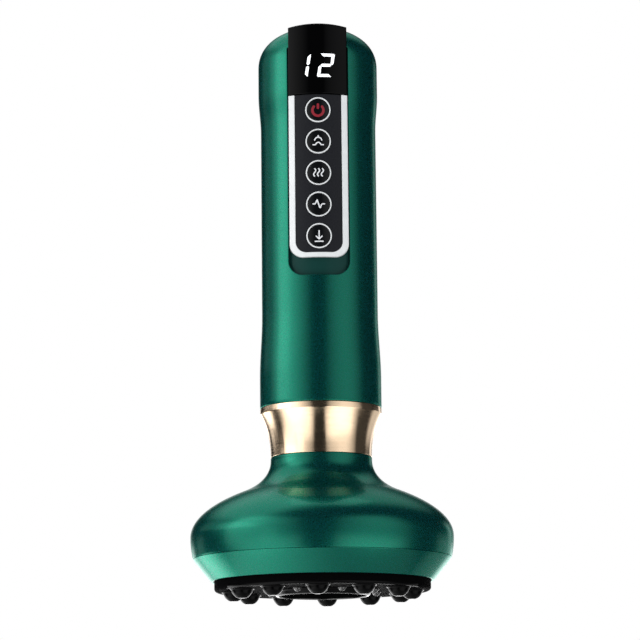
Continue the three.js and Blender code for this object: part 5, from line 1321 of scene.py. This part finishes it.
# %% Suction bowl
BOWL_RADIUS, BOWL_WALL, BOWL_FOOT, BOWL_SHOULDER, BOWL_RISE = 15.9, 1.3, 4.2, 13.5, 4.5
BOWL_FLANGE, FLANGE_FOOT, FLANGE_TOP = 20.5, 15.0, 16.5
NIPPLE_RADIUS, PORT_RADIUS, NIPPLE_TOP = 2.2, 1.1, 26.3
shell_radius, shell_rise = BOWL_RADIUS + BOWL_WALL, BOWL_RISE + BOWL_WALL
turn = quarter_turn(40)
dome_in, dome_out = (
    pairs(radius * np.cos(turn), BOWL_SHOULDER + rise * np.sin(turn))
    for radius, rise in ((BOWL_RADIUS, BOWL_RISE), (shell_radius, shell_rise)))
dome_out = dome_out[(dome_out[:, 1] > FLANGE_TOP + 0.1) & (dome_out[:, 0] > NIPPLE_RADIUS + 0.2)]
dome_in = dome_in[dome_in[:, 0] > PORT_RADIUS + 0.1]
flange_share = (FLANGE_TOP - BOWL_SHOULDER) / shell_rise
bowl_profile = np.concatenate([
    [(BOWL_RADIUS, BOWL_FOOT + 0.3), (BOWL_RADIUS + 0.3, BOWL_FOOT), (shell_radius - 0.2, BOWL_FOOT),
     (shell_radius, BOWL_FOOT + 0.2), (shell_radius, FLANGE_FOOT), (BOWL_FLANGE, FLANGE_FOOT),
     (BOWL_FLANGE, FLANGE_TOP), (shell_radius * math.sqrt(1 - flange_share**2), FLANGE_TOP)],
    dome_out,
    [(NIPPLE_RADIUS, BOWL_SHOULDER + shell_rise), (NIPPLE_RADIUS, NIPPLE_TOP - 0.3),
     (NIPPLE_RADIUS - 0.3, NIPPLE_TOP), (PORT_RADIUS, NIPPLE_TOP),
     (PORT_RADIUS, BOWL_SHOULDER + BOWL_RISE)],
    dome_in[::-1],
])
piece("bowl", *turned(bowl_profile, 200), HANDLE, "smoked_plastic", "suction_bowl")

# %% [markdown]
# ## Valve spring
# The release valve's return spring is one round steel wire, wound upwards, and it gets a mesh of its
# own. The plunger presses it shorter as it moves, but the piece is not flattened with that joint here.
# Left stiff, as in the imported model, it would be cut by the plunger when the valve opens.

# %% Valve spring
VALVE_X, VALVE_TRAVEL = 32.07, 1.2
SPRING_FOOT, SPRING_TOP, COIL_RADIUS, COIL_TURNS, WIRE_RADIUS = 26.4, 29.6, 2.6, 3, 0.3


def wound_wire(foot, top, radius, turns, wire, steps=120, sides=14):
    """Points of a round wire: its centre line climbs evenly, and each end closes on that line."""
    share = np.linspace(0, 1, steps)
    share = np.concatenate([share[:1], share, share[-1:]])[:, None]
    thick = np.full_like(share, wire)
    thick[[0, -1]] = 0
    angle, around = 2 * math.pi * turns * share, whole_turn(sides)
    reach = radius + thick * np.cos(around)
    height = foot + wire + (top - foot - 2 * wire) * share + thick * np.sin(around)
    return np.stack([reach * np.cos(angle), reach * np.sin(angle), height], axis=-1)


wire_points = wound_wire(SPRING_FOOT, SPRING_TOP, COIL_RADIUS, COIL_TURNS, WIRE_RADIUS)
spring = piece("valve_spring", wire_points + [VALVE_X, 0, 0], grid_quads(*wire_points.shape[:2]),
               HANDLE, "steel", "release_valve_spring")
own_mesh(spring)
